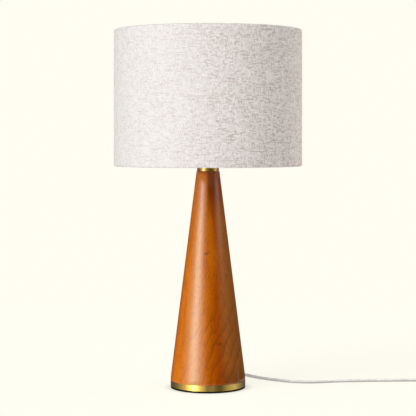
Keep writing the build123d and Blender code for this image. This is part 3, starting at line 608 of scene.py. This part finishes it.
@dataclass(frozen=True)
class Moulded(Finish):
    """Moulded or extruded plastic, rubber or card with a fine skin."""

    tone: Colour = (0.4, 0.4, 0.4)
    second: Colour = (0.3, 0.3, 0.3)
    gloss: float = 0.42
    grain: float = 0.0009
    depth: float = 0.00002
    coat: float = 0.0
    shine: float = 0.5
    cloud: Grain = ((0.02, 0.02, 0.02), 3.0, 0.55, 0.3)
    scuff: Grain = ((0.011, 0.0012, 0.004), 2.0, 0.6, 0.2)

    def surface(self, n: Nodes) -> Inputs:
        """Returns the inputs of a moulded skin with faint clouds, grain and scuffs.

        Args:
            n: the material's nodes.

        Returns:
            The shader's inputs, by name.
        """
        place = n.place()
        grain = n.grain(place, (self.grain,) * 3, 3.0, 0.6)
        scuff = n.grain(place, *self.scuff)
        clouded = n.spread(n.grain(place, *self.cloud), 0.3, 0.75)
        colour = n.mix(clouded, self.tone, self.second)
        return {
            "Base Color": n.mix(n.spread(grain, 0.45, 0.8, 0.0, 0.5), colour, self.second),
            "Roughness": n.spread(scuff, 0.35, 0.7, self.gloss * 0.88, self.gloss * 1.25),
            "Specular IOR Level": self.shine,
            "Coat Weight": self.coat, "Coat Roughness": 0.2,
            "Normal": n.bump(grain, self.depth),
        }


@dataclass(frozen=True)
class Plated(Finish):
    """Plated or cast metal with faint blooms, from bright nickel to rough iron."""

    tone: Colour = (0.62, 0.62, 0.60)
    second: Colour = (0.42, 0.42, 0.40)
    gloss: float = 0.3
    bloom: float = 0.004
    depth: float = 0.00001
    metallic: float = 1.0
    bloomed: Spread = (0.3, 0.72)
    tooling: Grain = ((0.0004, 0.0004, 0.0011), 2.0, 0.6)

    def surface(self, n: Nodes) -> Inputs:
        """Returns the inputs of plated or cast metal.

        Args:
            n: the material's nodes.

        Returns:
            The shader's inputs, by name.
        """
        place = n.place()
        bloom = n.grain(place, (self.bloom,) * 3, 4.0, 0.6, 0.5)
        fine = n.grain(place, *self.tooling)
        return {
            "Base Color": n.mix(n.spread(bloom, *self.bloomed), self.tone, self.second),
            "Metallic": self.metallic,
            "Roughness": n.spread(bloom, *self.bloomed, self.gloss * 0.8, self.gloss * 1.3),
            "Normal": n.bump(n.plus(bloom, fine), self.depth),
        }


@dataclass(frozen=True)
class OpalGlass(Finish):
    """A bulb's glass, coated white on the inside."""

    tone: Colour = (0.93, 0.925, 0.90)
    shade: Colour = (0.86, 0.85, 0.81)
    coat: Grain = ((0.018, 0.018, 0.03), 3.0, 0.5)
    depth: float = 0.00005

    def surface(self, n: Nodes) -> Inputs:
        """Returns the inputs of opal glass: an even white coat under clear gloss.

        Args:
            n: the material's nodes.

        Returns:
            The shader's inputs, by name.
        """
        coat = n.grain(n.place(), *self.coat)
        return {
            "Base Color": n.mix(n.spread(coat, 0.3, 0.75), self.tone, self.shade),
            "Roughness": 0.5, "Subsurface Weight": 0.25, "Subsurface Scale": 0.003,
            "Coat Weight": 1.0, "Coat Roughness": 0.04,
            "Normal": n.bump(coat, self.depth),
        }


FOOT_BRASS = Brass("foot_band_brass", brushing=Brushing.AROUND, radius=0.0655)
NECK_BRASS = Brass(
    "neck_ring_brass", (0.92, 0.56, 0.10), (0.66, 0.30, 0.02),
    brushing=Brushing.AROUND, radius=0.0191,
)
DRAWN_BRASS = Brass("drawn_brass", gloss=0.2)
SOCKET_BRASS = Brass("pressed_socket_brass", gloss=0.17)
WOOD = TurnedWood("stained_turned_wood")
LINEN = Linen("natural_linen")
OPAL = OpalGlass("opal_bulb_glass")
PAD = Moulded(
    "black_foot_foam", (0.003,) * 3, (0.008, 0.007, 0.006),
    gloss=0.95, grain=0.0006, depth=0.00006, shine=0.05,
)
LINER = Moulded(
    "white_shade_liner", (0.80, 0.79, 0.76), (0.74, 0.73, 0.70),
    gloss=0.5, grain=0.002, depth=0.00001,
)
JACKET = Moulded(
    "grey_cord_jacket", (0.60, 0.585, 0.565), (0.50, 0.485, 0.465), gloss=0.45, grain=0.0012
)
PLUG = Moulded(
    "grey_plug_moulding", (0.40, 0.385, 0.365), (0.33, 0.32, 0.30), grain=0.0008
)
BUSHING = Moulded(
    "black_bushing_rubber", (0.022, 0.021, 0.020), (0.034, 0.032, 0.030),
    gloss=0.6, grain=0.0008,
)
TIE = Moulded(
    "black_hook_and_loop", (0.018, 0.018, 0.019), (0.040, 0.040, 0.042),
    gloss=0.9, grain=0.0005, depth=0.0001,
)
KNOB = Moulded(
    "black_knob_plastic", (0.014, 0.014, 0.015), (0.020, 0.020, 0.021),
    gloss=0.28, grain=0.001, depth=0.000006, coat=0.4,
)
PHENOLIC = Moulded(
    "brown_phenolic", (0.055, 0.022, 0.010), (0.035, 0.014, 0.007),
    gloss=0.35, grain=0.001, depth=0.00001, coat=0.2,
)
CARD = Moulded(
    "fibre_sleeve_card", (0.42, 0.30, 0.17), (0.34, 0.23, 0.12),
    gloss=0.85, grain=0.0005, depth=0.00005,
)
BLACK_GLASS = Moulded(
    "black_insulator_glass", (0.008, 0.008, 0.010), (0.014, 0.013, 0.014),
    gloss=0.12, grain=0.002, depth=0.000005, coat=0.8,
)
LEAD_WHITE = Moulded(
    "white_lead_insulation", (0.72, 0.71, 0.68), (0.62, 0.61, 0.58), gloss=0.4, grain=0.001
)
LEAD_BLACK = Moulded(
    "black_lead_insulation", (0.02,) * 3, (0.035,) * 3, gloss=0.4, grain=0.001
)
WHITE_WIRE = Moulded(
    "white_enamelled_wire", (0.78, 0.77, 0.74), (0.66, 0.65, 0.61),
    gloss=0.3, grain=0.0015, depth=0.00001, coat=0.5,
)
ZINC = Plated("zinc_plated_steel", (0.60, 0.60, 0.57), (0.44, 0.43, 0.38), gloss=0.34)
NICKEL = Plated("bulb_base_nickel", (0.70, 0.69, 0.66), (0.55, 0.54, 0.51), gloss=0.2)
BLADE = Plated("plug_blade_brass", (0.80, 0.64, 0.33), (0.66, 0.50, 0.24), gloss=0.26)
SOLDER = Plated(
    "dull_solder", (0.48, 0.48, 0.49), (0.33, 0.33, 0.35),
    gloss=0.45, bloom=0.0015, depth=0.00005,
)
IRON = Plated(
    "painted_cast_iron", (0.030, 0.029, 0.028), (0.055, 0.050, 0.045),
    gloss=0.7, bloom=0.002, depth=0.0002, metallic=0.2,
)


def dress(finish: Finish, *names: str) -> None:
    """Gives CAD pieces their finish.

    Args:
        finish: what the pieces are made of.
        names: the pieces' nodes.
    """
    for name in names:
        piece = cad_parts[name]
        if not piece.material_slots:
            piece.data.materials.append(None)
        for slot in piece.material_slots:
            slot.material = finish.material()
        LOG.info("%s is dressed in %s", name, finish.name)


# -------- mesh tools


def woven_mesh(name: str, rows: list[list[Point]], closed: bool = True) -> bpy.types.Object:
    """Makes a smooth mesh of four-sided faces from rows of points, the last joined to the first.

    Args:
        name: the piece's name.
        rows: rows of points, all with as many.
        closed: whether each row closes on itself.

    Returns:
        The piece, in the scene.
    """
    mesh = bmesh.new()
    grid = [[mesh.verts.new(point) for point in row] for row in rows]
    wide = len(rows[0])
    for lower, upper in zip(grid, grid[1:] + grid[:1]):
        for j in range(wide if closed else wide - 1):
            k = (j + 1) % wide
            mesh.faces.new((lower[j], lower[k], upper[k], upper[j]))
    bmesh.ops.recalc_face_normals(mesh, faces=mesh.faces)
    data = bpy.data.meshes.new(name)
    mesh.to_mesh(data)
    mesh.free()
    data.shade_smooth()
    return linked(name, data)


def linked(name: str, data: bpy.types.ID) -> bpy.types.Object:
    """Puts a new object in the scene.

    Args:
        name: its name.
        data: its mesh, curve, camera or light.

    Returns:
        The object.
    """
    piece = bpy.data.objects.new(name, data)
    bpy.context.scene.collection.objects.link(piece)
    return piece


def eased(share: float) -> float:
    """Returns a share from 0 to 1 that starts and ends gently."""
    return share * share * (3.0 - 2.0 * share)


def rounded(corners: Outline, radius: float, steps: int = 6) -> Outline:
    """Rounds the inner corners of an open outline.

    Args:
        corners: the outline's points, as radius and height.
        radius: the radius of every rounding.
        steps: how many pieces each rounding has.

    Returns:
        The outline with arcs at its corners.
    """
    path = [corners[0]]
    for before, corner, after in zip(corners, corners[1:], corners[2:]):
        here = Vector(corner)
        back = (Vector(before) - here).normalized()
        on = (Vector(after) - here).normalized()
        half = back.angle(on) / 2
        centre = here + (back + on).normalized() * radius / math.sin(half)
        start = here + back * radius / math.tan(half) - centre
        end = here + on * radius / math.tan(half) - centre
        sweep = start.angle_signed(end)
        for step in range(steps + 1):
            turn = -sweep * step / steps
            x = start.x * math.cos(turn) - start.y * math.sin(turn)
            y = start.x * math.sin(turn) + start.y * math.cos(turn)
            path.append((centre.x + x, centre.y + y))
    return [*path, corners[-1]]


def divided(path: Outline, longest: float) -> Outline:
    """Divides the straight runs of an outline.

    Args:
        path: the outline's points.
        longest: the longest run that is left.

    Returns:
        The outline with more points on its long runs.
    """
    fine = [path[0]]
    for start, end in zip(path, path[1:]):
        count = max(1, math.ceil(math.dist(start, end) / longest))
        for step in range(1, count + 1):
            share = step / count
            fine.append(tuple(a + (b - a) * share for a, b in zip(start, end)))
    return fine


def sheeted(path: Outline, thickness: float) -> Outline:
    """Gives an open outline a thickness.

    Args:
        path: the middle line of a bent sheet, as radius and height.
        thickness: the sheet's thickness.

    Returns:
        A closed outline round the sheet.
    """
    sides: tuple[list, list] = ([], [])
    for i, point in enumerate(path):
        before = Vector(path[max(i - 1, 0)])
        after = Vector(path[min(i + 1, len(path) - 1)])
        way = (after - before).normalized()
        across = Vector((-way.y, way.x)) * thickness / 2
        sides[0].append(tuple(Vector(point) + across))
        sides[1].append(tuple(Vector(point) - across))
    return sides[0] + sides[1][::-1]


def turned_rows(outline: Outline, steps: int = 96) -> list[list[Point]]:
    """Returns an outline of radii and heights, turned about the lamp's axis in even steps."""
    turns = (math.tau * step / steps for step in range(steps))
    return [[(r * math.cos(turn), r * math.sin(turn), z) for r, z in outline] for turn in turns]


def bead(radius: float, height: float, thick: float, steps: int = 10) -> Outline:
    """Returns the round outline of a bead or a rolled edge at this radius and height."""
    turns = (math.tau * step / steps for step in range(steps))
    return [(radius + thick * math.cos(turn), height + thick * math.sin(turn)) for turn in turns]


# -------- studio


@dataclass(frozen=True)
class Viewpoint:
    """The photograph's viewpoint: a level camera whose frame is shifted down."""

    frame_px: float = 416.0
    focal_px: float = 1424.0
    axis_px: Pair = (208.0, 137.0)
    distance: float = 2.5
    height: float = 0.4388
    sensor_mm: float = 36.0

    def build(self) -> None:
        """Makes the camera and looks through it."""
        data = bpy.data.cameras.new("viewpoint")
        data.sensor_width = self.sensor_mm
        data.lens = self.sensor_mm * self.focal_px / self.frame_px
        middle = self.frame_px / 2
        data.shift_x = (middle - self.axis_px[0]) / self.frame_px
        data.shift_y = (self.axis_px[1] - middle) / self.frame_px
        camera = linked("viewpoint", data)
        camera.location = (0.0, -self.distance, self.height)
        camera.rotation_euler = (math.radians(90.0), 0.0, 0.0)
        bpy.context.scene.camera = camera


@dataclass(frozen=True)
class Softbox:
    """One soft light, aimed at a height on the lamp's axis.

    Its angles are from the front towards the right, and from level up.
    """

    name: str
    turn: float
    rise: float
    size: Pair
    radiance: float
    height: float
    tint: Colour
    reflected: bool = False
    distance: float = 2.0

    def build(self) -> bpy.types.Object:
        """Makes the light.

        Returns:
            The light, in the scene.
        """
        data = bpy.data.lights.new(self.name, "AREA")
        data.shape = "RECTANGLE"
        data.size, data.size_y = self.size
        data.energy = math.pi * self.size[0] * self.size[1] * self.radiance
        data.color = self.tint
        light = linked(self.name, data)
        turn = math.radians(self.turn)
        rise = math.radians(self.rise)
        way = Vector(
            (math.sin(turn) * math.cos(rise), -math.cos(turn) * math.cos(rise), math.sin(rise))
        )
        light.location = Vector((0.0, 0.0, self.height)) + way * self.distance
        light.rotation_mode = "QUATERNION"
        light.rotation_quaternion = way.to_track_quat("Z", "Y")
        light.visible_glossy = self.reflected
        return light


@dataclass(frozen=True)
class Studio:
    """A pale floor that runs into a pale backdrop, with soft light mostly from the left."""

    cream: Colour = (1.0, 0.982, 0.880)
    floor_rings: tuple[float, ...] = (0.001, 0.05, 0.2, 0.6, 1.5, 3.0, 6.0)
    floor_glow: float = 0.89
    floor_albedo: float = 0.24
    floor_fade: Spread = (0.45, 1.4)
    # Painted contact shadow: how near the lamp the floor's glow darkens, and by how much.
    contact: float = 0.022
    contact_dark: Spread = (0.3, 1.0, 0.62, 1.0)
    contact_samples: int = 16
    room: float = 9.0
    backdrop_steps: int = 24

    # Where one row of the surroundings' brightness goes over into the next, by the sine of the
    # height over the horizon, and how far the middle row is dimmed at its lower end.
    level: Spread = (-0.14, -0.10)
    dim_level: Spread = (0.02, 0.07, 0.62, 1.0)
    high_level: Spread = (0.08, 0.18)

    # Brightness of the surroundings by direction, in degrees from the front towards the right:
    # below the table's level, from near that level up, and high up.
    low_bands: ClassVar[Levels] = (
        (-180, 0.10), (-130, 0.12), (-104, 0.32), (-86, 0.58), (-74, 0.78), (-58, 1.75),
        (-38, 1.75), (-26, 1.15), (-12, 0.75), (-4, 0.33), (4, 0.42), (14, 0.50), (24, 0.26),
        (34, 0.15), (44, 0.18), (56, 0.40), (76, 0.76), (90, 0.84), (104, 0.56), (120, 0.30),
        (140, 0.12), (180, 0.10),
    )
    bands: ClassVar[Levels] = (
        (-180, 0.06), (-112, 0.07), (-98, 0.22), (-83, 0.55), (-70, 1.15), (-58, 3.0),
        (-47, 3.8), (-36, 2.6), (-24, 1.0), (-12, 0.36), (-2, 0.015), (34, 0.012),
        (60, 0.10), (90, 0.13), (130, 0.10), (180, 0.10),
    )
    high_bands: ClassVar[Levels] = (
        *bands[:5], (-58, 2.8), (-47, 3.2), (-36, 2.2), (-24, 0.80), (-12, 0.30), (-2, 0.015),
        (36, 0.015), (58, 0.26), (74, 0.75), (90, 0.92), (104, 0.45), (120, 0.08), (180, 0.08),
    )

    # Lights that fall on these pieces only. The linen glows more evenly than what it stands on.
    piece_lights: ClassVar[dict[tuple[str, ...], tuple[Softbox, ...]]] = {
        ("shade_linen_cover",): (
            Softbox("shade_fill_front", 0, 4, (1.0, 1.0), 3.5, 0.49, (1.0, 0.945, 0.91)),
            Softbox("shade_fill_right", 80, 4, (1.0, 1.0), 2.4, 0.49, (1.0, 0.88, 0.82)),
            Softbox("shade_fill_back_right", 132, 4, (1.0, 1.0), 7.2, 0.49, (1.0, 0.90, 0.84)),
            Softbox("shade_fill_back_left", -145, 4, (1.0, 1.0), 3.2, 0.49, (0.98, 0.99, 1.0)),
        ),
        ("supply_cord",): (
            Softbox("cord_fill", 20, 60, (1.0, 1.0), 14.0, 0.0, (1.0, 0.98, 0.96)),
        ),
        ("neck_ring",): (
            Softbox("neck_key", -47, 0, (0.5, 1.2), 3.0, 0.377, (1.0, 1.0, 0.94), True),
            Softbox("neck_glint", 88, 0, (1.2, 1.2), 0.55, 0.377, (1.0, 0.93, 0.80), True),
        ),
        ("foot_band",): (
            Softbox("foot_key", -43, 0, (0.55, 1.2), 2.6, -0.32, (1.0, 1.0, 0.94), True),
        ),
        ("shade_liner", "bulb_glass", "bulb_base", "socket_shell"): (
            Softbox("inner_fill", 10, 70, (1.2, 1.2), 5.0, 0.45, (1.0, 0.99, 0.96)),
        ),
    }

    def build(self) -> None:
        """Makes the floor, the backdrop and the lights."""
        settings = bpy.context.scene.view_settings
        settings.view_transform = "Standard"
        settings.look = "None"
        self._surroundings()
        self._floor()
        self._backdrop()
        for names, lights in self.piece_lights.items():
            lit = bpy.data.collections.new("lit_" + names[0])
            for name in names:
                lit.objects.link(bpy.data.objects[name])
            for light in lights:
                light.build().light_linking.receiver_collection = lit

    def _surroundings(self) -> None:
        """Makes the soft light that comes from all round the lamp."""
        world = bpy.data.worlds.new("studio")
        world.use_nodes = True
        bpy.context.scene.world = world
        n = Nodes(world.node_tree)
        x, y, z = n.parts(n.add("TexCoord").outputs["Generated"])
        share = n.math("ARCTAN2", x, n.times(y, -1.0))
        share = n.plus(n.math("DIVIDE", share, math.tau), 0.5)
        peak = max(level for _, level in self.bands)
        low, near, high = (
            n.ramp(share, tuple(((turn + 180.0) / 360.0, level / peak) for turn, level in bands))
            for bands in (self.low_bands, self.bands, self.high_bands)
        )
        dim = n.spread(z, *self.dim_level)
        grey = n.add("CombineColor", {0: dim, 1: dim, 2: dim}).outputs[0]
        near = n.mix(1.0, near, grey, "MULTIPLY")
        light = n.mix(n.spread(z, *self.level), low, near)
        light = n.mix(n.spread(z, *self.high_level), light, high)
        background = world.node_tree.nodes["Background"]
        n.feed(background.inputs["Color"], light)
        n.feed(background.inputs["Strength"], peak)

    def _stage(self, name: str, outline: Outline, hidden: tuple[str, ...]) -> Nodes:
        """Turns a part of the room, which doesn't belong to the lamp.

        Args:
            name: the part's name.
            outline: its outline, as radius and height.
            hidden: the kinds of light that don't see it.

        Returns:
            The nodes of its new material.
        """
        piece = woven_mesh(name, turned_rows(outline), closed=False)
        for kind in hidden:
            setattr(piece, f"visible_{kind}", False)
        material = bpy.data.materials.new("pale_" + name)
        material.use_nodes = True
        piece.data.materials.append(material)
        return Nodes(material.node_tree)

    def _floor(self) -> None:
        """Makes the floor, which takes shadows near the lamp and glows evenly far from it."""
        outline = [(r, 0.0) for r in (*self.floor_rings, self.room)]
        n = self._stage("floor", outline, ("diffuse", "glossy", "shadow"))
        away = n.length(n.place())
        far = n.spread(away, *self.floor_fade)
        colour = n.mix(far, tuple(self.floor_albedo * c for c in self.cream), (0.0, 0.0, 0.0))
        matt = n.add("BsdfDiffuse", {"Color": colour}).outputs[0]
        # Painted contact shadow: the glow dims where the lamp stands close.
        sockets = {"Distance": self.contact}
        open_sky = n.add("AmbientOcclusion", sockets, samples=self.contact_samples).outputs["AO"]
        contact = n.spread(open_sky, *self.contact_dark)
        level = n.spread(away, *self.floor_fade, self.floor_glow, 1.0)
        sockets = {"Color": self.cream, "Strength": n.times(level, contact)}
        glow = n.add("Emission", sockets).outputs[0]
        both = n.add("AddShader", {0: matt, 1: glow}).outputs[0]
        n.feed(n.tree.nodes["Material Output"].inputs["Surface"], both)

    def _backdrop(self) -> None:
        """Makes the pale backdrop, which only the camera sees."""
        rises = (math.tau / 4 * i / self.backdrop_steps for i in range(self.backdrop_steps + 1))
        outline = [
            (max(self.floor_rings[0], self.room * math.cos(rise)), self.room * math.sin(rise))
            for rise in rises
        ]
        hidden = ("diffuse", "glossy", "transmission", "volume_scatter", "shadow")
        n = self._stage("backdrop", outline, hidden)
        glow = n.add("Emission", {"Color": self.cream, "Strength": 1.0}).outputs[0]
        n.feed(n.tree.nodes["Material Output"].inputs["Surface"], glow)


# -------- supply cord


@dataclass(frozen=True)
class Coil:
    """Turns of cord wound in and out in layers, as the frame holds them."""

    centre: Point = (0.424, 0.090925, 0.00355)
    outer: float = 0.032925
    inner: float = 0.023475
    pitch: float = 0.0063
    layer_step: float = 0.0055
    spiral_half_turns: int = 3
    half_turns: int = 14
    points_per_half_turn: int = 12

    def points(self) -> list[Point]:
        """Winds the coil.

        Returns:
            The control points of the turns, a little outside the line that they give.
        """
        pull_in = (1.0 + math.cos(math.pi / self.points_per_half_turn)) / 2
        layer_length = self.spiral_half_turns + 1
        route = []
        for k in range(self.half_turns * self.points_per_half_turn + 1):
            half_turns = k / self.points_per_half_turn
            layer = min(int(half_turns // layer_length), (self.half_turns - 1) // layer_length)
            step = half_turns - layer * layer_length
            wound = min(step, self.spiral_half_turns) * self.pitch / 2
            radius = self.outer - wound if layer % 2 == 0 else self.inner + wound
            rise = eased(max(0.0, step - self.spiral_half_turns))
            angle = math.pi * half_turns - math.pi / 2
            x = self.centre[0] + radius * math.cos(angle) / pull_in
            y = self.centre[1] + radius * math.sin(angle) / pull_in
            route.append((x, y, self.centre[2] + (layer + rise) * self.layer_step))
        return route


@dataclass(frozen=True)
class SupplyCord:
    """The grey supply cord: free from its bushing, over the table, into its coil and its plug."""

    radius: float = 0.0024
    length: float = 1.80
    sides: int = 6
    smoothness: int = 10
    coil: Coil = Coil()

    # From the relief down to the table and along it, in millimetres.
    run: ClassVar[list[Point]] = [
        (0, 90, 21), (0, 105, 21), (5, 122, 12.4), (20, 136, 4.4), (42, 139.5, 2.5),
        (62, 125.5, 2.5), (84, 92, 2.5), (115, 64, 2.5), (150, 41, 2.5), (185, 35, 2.5),
        (220, 46, 2.5), (262, 51.5, 2.5), (318, 55.5, 2.5), (370, 57.4, 2.5),
        (402, 58, 3.55), (419.2, 58, 3.55),
    ]
    tail: ClassVar[list[Point]] = [
        (428.8, 61.15, 20.05), (442.8, 61.15, 20.05), (464.8, 65.15, 11.45),
        (483.8, 73.65, 6.6), (498.8, 83.15, 6.6),
    ]

    def build(self) -> None:
        """Makes the cord as one line and dresses what is on it."""
        run = [tuple(MM * x for x in point) for point in self.run]
        tail = [tuple(MM * x for x in point) for point in self.tail]
        route = [*run, *self.coil.points(), *tail]
        data = bpy.data.curves.new("supply_cord", "CURVE")
        data.dimensions = "3D"
        data.bevel_depth = self.radius
        data.bevel_resolution = self.sides
        data.resolution_u = self.smoothness
        data.use_fill_caps = True
        line = data.splines.new("NURBS")
        line.points.add(len(route) - 1)
        for point, place in zip(line.points, route):
            point.co = (*place, 1.0)
        line.order_u = 3
        line.use_endpoint_u = True
        line.resolution_u = self.smoothness
        data.materials.append(JACKET.material())
        cord = linked("supply_cord", data)
        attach(cord, "lamp")
        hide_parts("cord_run", "cord_coil", "cord_tail")
        dress(JACKET, "inner_cord")
        dress(PLUG, "plug_body")
        dress(BLADE, "plug_blades")
        dress(TIE, "cord_tie")
        dress(BUSHING, "cord_bushing")
        LOG.info("supply cord with %d points", len(route))


# -------- shade


@dataclass(frozen=True)
class Shade:
    """The linen drum, its liner, wires and spider."""

    cloth: float = 0.0008
    fold: float = 0.0018
    hem: float = 0.011
    turn_in: float = 0.0059
    row: float = 0.005
    steps: int = 360
    seam_width: float = 0.012
    seam_rise: float = 0.00045
    seam_soft: float = 0.0016
    seam_edge: float = 0.0002
    seam_rows: tuple[float, ...] = (0, 0.3, 0.7, 1)
    wave: float = 0.00018
    waves_round: float = 2.2
    waves_up: float = 9.0

    def build(self) -> None:
        """Makes the linen cover and dresses the rest of the shade."""
        self._cover()
        dress(LINER, "shade_liner")
        dress(WHITE_WIRE, "shade_top_ring", "shade_bottom_ring")
        dress(DRAWN_BRASS, "shade_spider", "swivel_stud")

    def _outline(self, radius: float, bottom: float, top: float) -> Outline:
        """Draws the section of the cloth, turned in over both wires and hemmed.

        Args:
            radius: the drum's radius.
            bottom: the height of its lower edge.
            top: the height of its upper edge.

        Returns:
            The closed outline.
        """
        outside = radius - self.cloth / 2
        inside = radius - self.turn_in + self.cloth / 2
        low = bottom + self.cloth / 2
        high = top - self.cloth / 2
        lower = [(inside, bottom + self.hem), (inside, low), (outside, low)]
        corners = [*lower, (outside, high), (inside, high), (inside, top - self.hem)]
        middle = divided(rounded(corners, self.fold), self.row)
        return sheeted(middle, self.cloth)

    def _seam(self, along: float) -> float:
        """Returns how far the cover stands out where its ends lap, by the way from the back."""
        share = min(1.0, max(0.0, (along + self.seam_width) / self.seam_soft))
        return self.seam_rise * eased(share) if along < 0.0 else 0.0

    def _angles(self, radius: float) -> list[float]:
        """Spaces the rows of points, close together beside the seam.

        Args:
            radius: the drum's radius.

        Returns:
            The angle of each row.
        """
        even = [math.tau * step / self.steps for step in range(1, self.steps)]
        edge = self.seam_edge / radius
        starts = (share * self.seam_soft - self.seam_width for share in self.seam_rows)
        return sorted([0.0, *even, math.tau - edge, *(math.tau + at / radius for at in starts)])

    def _cover(self) -> None:
        """Makes the cover: one sheet of linen round the drum, with its ends lapped at the back."""
        low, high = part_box("shade_fabric")
        radius = high.y
        outline = self._outline(radius, low.z, high.z)
        middle = radius - self.turn_in / 2
        rows = []
        for angle in self._angles(radius):
            away = angle if angle < math.pi else angle - math.tau
            lap = self._seam(away * radius)
            row = []
            for r, z in outline:
                round_x = math.cos(angle) * self.waves_round
                round_y = math.sin(angle) * self.waves_round
                spot = Vector((round_x, round_y, z * self.waves_up))
                ripple = self.wave * noise.noise(spot) - self.wave / 2
                outward = lap if r > middle else 0.0
                # The join is at the back, where the angle is zero.
                reach = min(r + ripple + outward, radius + self.seam_rise)
                row.append((-reach * math.sin(angle), reach * math.cos(angle), z))
            rows.append(row)
        cover = woven_mesh("shade_linen_cover", rows)
        cover.data.materials.append(LINEN.material())
        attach(cover, "shade")
        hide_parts("shade_fabric")
        LOG.info("shade cover with %d faces", len(cover.data.polygons))


# -------- column, harp, socket, bulb


@dataclass(frozen=True)
class Column:
    """The turned column between its two brass rings, its foot pad and what clamps it."""

    lip_out: float = 0.0653
    lip_in: float = 0.0625
    lip_low: float = 0.0003
    lip_high: float = 0.0031
    lip_round: float = 0.0004
    lip_corner_steps: int = 4
    lip_steps: int = 160

    def build(self) -> None:
        """Makes the pad's soft lip and dresses the column's pieces."""
        low = [(self.lip_in, self.lip_low), (self.lip_out, self.lip_low)]
        corners = [*low, (self.lip_out, self.lip_high), (self.lip_in, self.lip_high)]
        outline = rounded(corners, self.lip_round, self.lip_corner_steps)
        lip = woven_mesh("foot_pad_lip", turned_rows(outline, self.lip_steps))
        lip.data.materials.append(PAD.material())
        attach(lip, "lamp")
        dress(WOOD, "wood_column")
        dress(FOOT_BRASS, "foot_band")
        dress(NECK_BRASS, "neck_ring", "neck_cap")
        dress(PAD, "foot_pad")
        dress(IRON, "base_weight")
        dress(ZINC, "lamp_pipe", "bottom_washer", "bottom_nut", "neck_washer", "neck_nut")


@dataclass(frozen=True)
class Harp:
    """The harp that carries the shade, its saddle, ferrules and finial."""

    def build(self) -> None:
        """Dresses the harp's pieces."""
        dress(DRAWN_BRASS, "harp", "harp_saddle", "ferrule_left", "ferrule_right")
        dress(DRAWN_BRASS, "finial", "saddle_nut")


@dataclass(frozen=True)
class Socket:
    """The lamp socket with its switch, and the beads rolled into its shell and cap."""

    bead: float = 0.0007

    def build(self) -> None:
        """Makes the rolled beads and dresses the socket's pieces."""
        for name, node in (("shell_lip_bead", "socket_shell"), ("cap_rim_bead", "socket_cap")):
            _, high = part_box(node)
            outline = bead(high.x - self.bead / 4, high.z - self.bead, self.bead)
            ring = woven_mesh(name, turned_rows(outline))
            ring.data.materials.append(SOCKET_BRASS.material())
            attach(ring, "lamp")
            LOG.info("%s at %.4f m", name, high.z)
        dress(SOCKET_BRASS, "socket_cap", "socket_shell")
        dress(CARD, "insulating_sleeve")
        dress(PHENOLIC, "socket_body")
        dress(BLADE, "terminal_screws", "centre_contact", "screw_shell")
        dress(KNOB, "switch_knob")
        dress(ZINC, "switch_shaft")
        dress(LEAD_WHITE, "neutral_lead")
        dress(LEAD_BLACK, "live_lead")


@dataclass(frozen=True)
class Bulb:
    """The opal bulb in its screw base."""

    def build(self) -> None:
        """Dresses the bulb's pieces."""
        dress(OPAL, "bulb_glass")
        dress(NICKEL, "bulb_base")
        dress(BLACK_GLASS, "bulb_insulator")
        dress(SOLDER, "bulb_tip")


def main() -> None:
    """Builds the camera, the cord, each other sub-assembly and then the studio."""
    logging.basicConfig(level=logging.INFO, format="%(name)s: %(message)s")
    for part in (Viewpoint(), SupplyCord(), Shade(), Column(), Harp(), Socket(), Bulb(), Studio()):
        part.build()


if __name__ == "__main__":
    main()
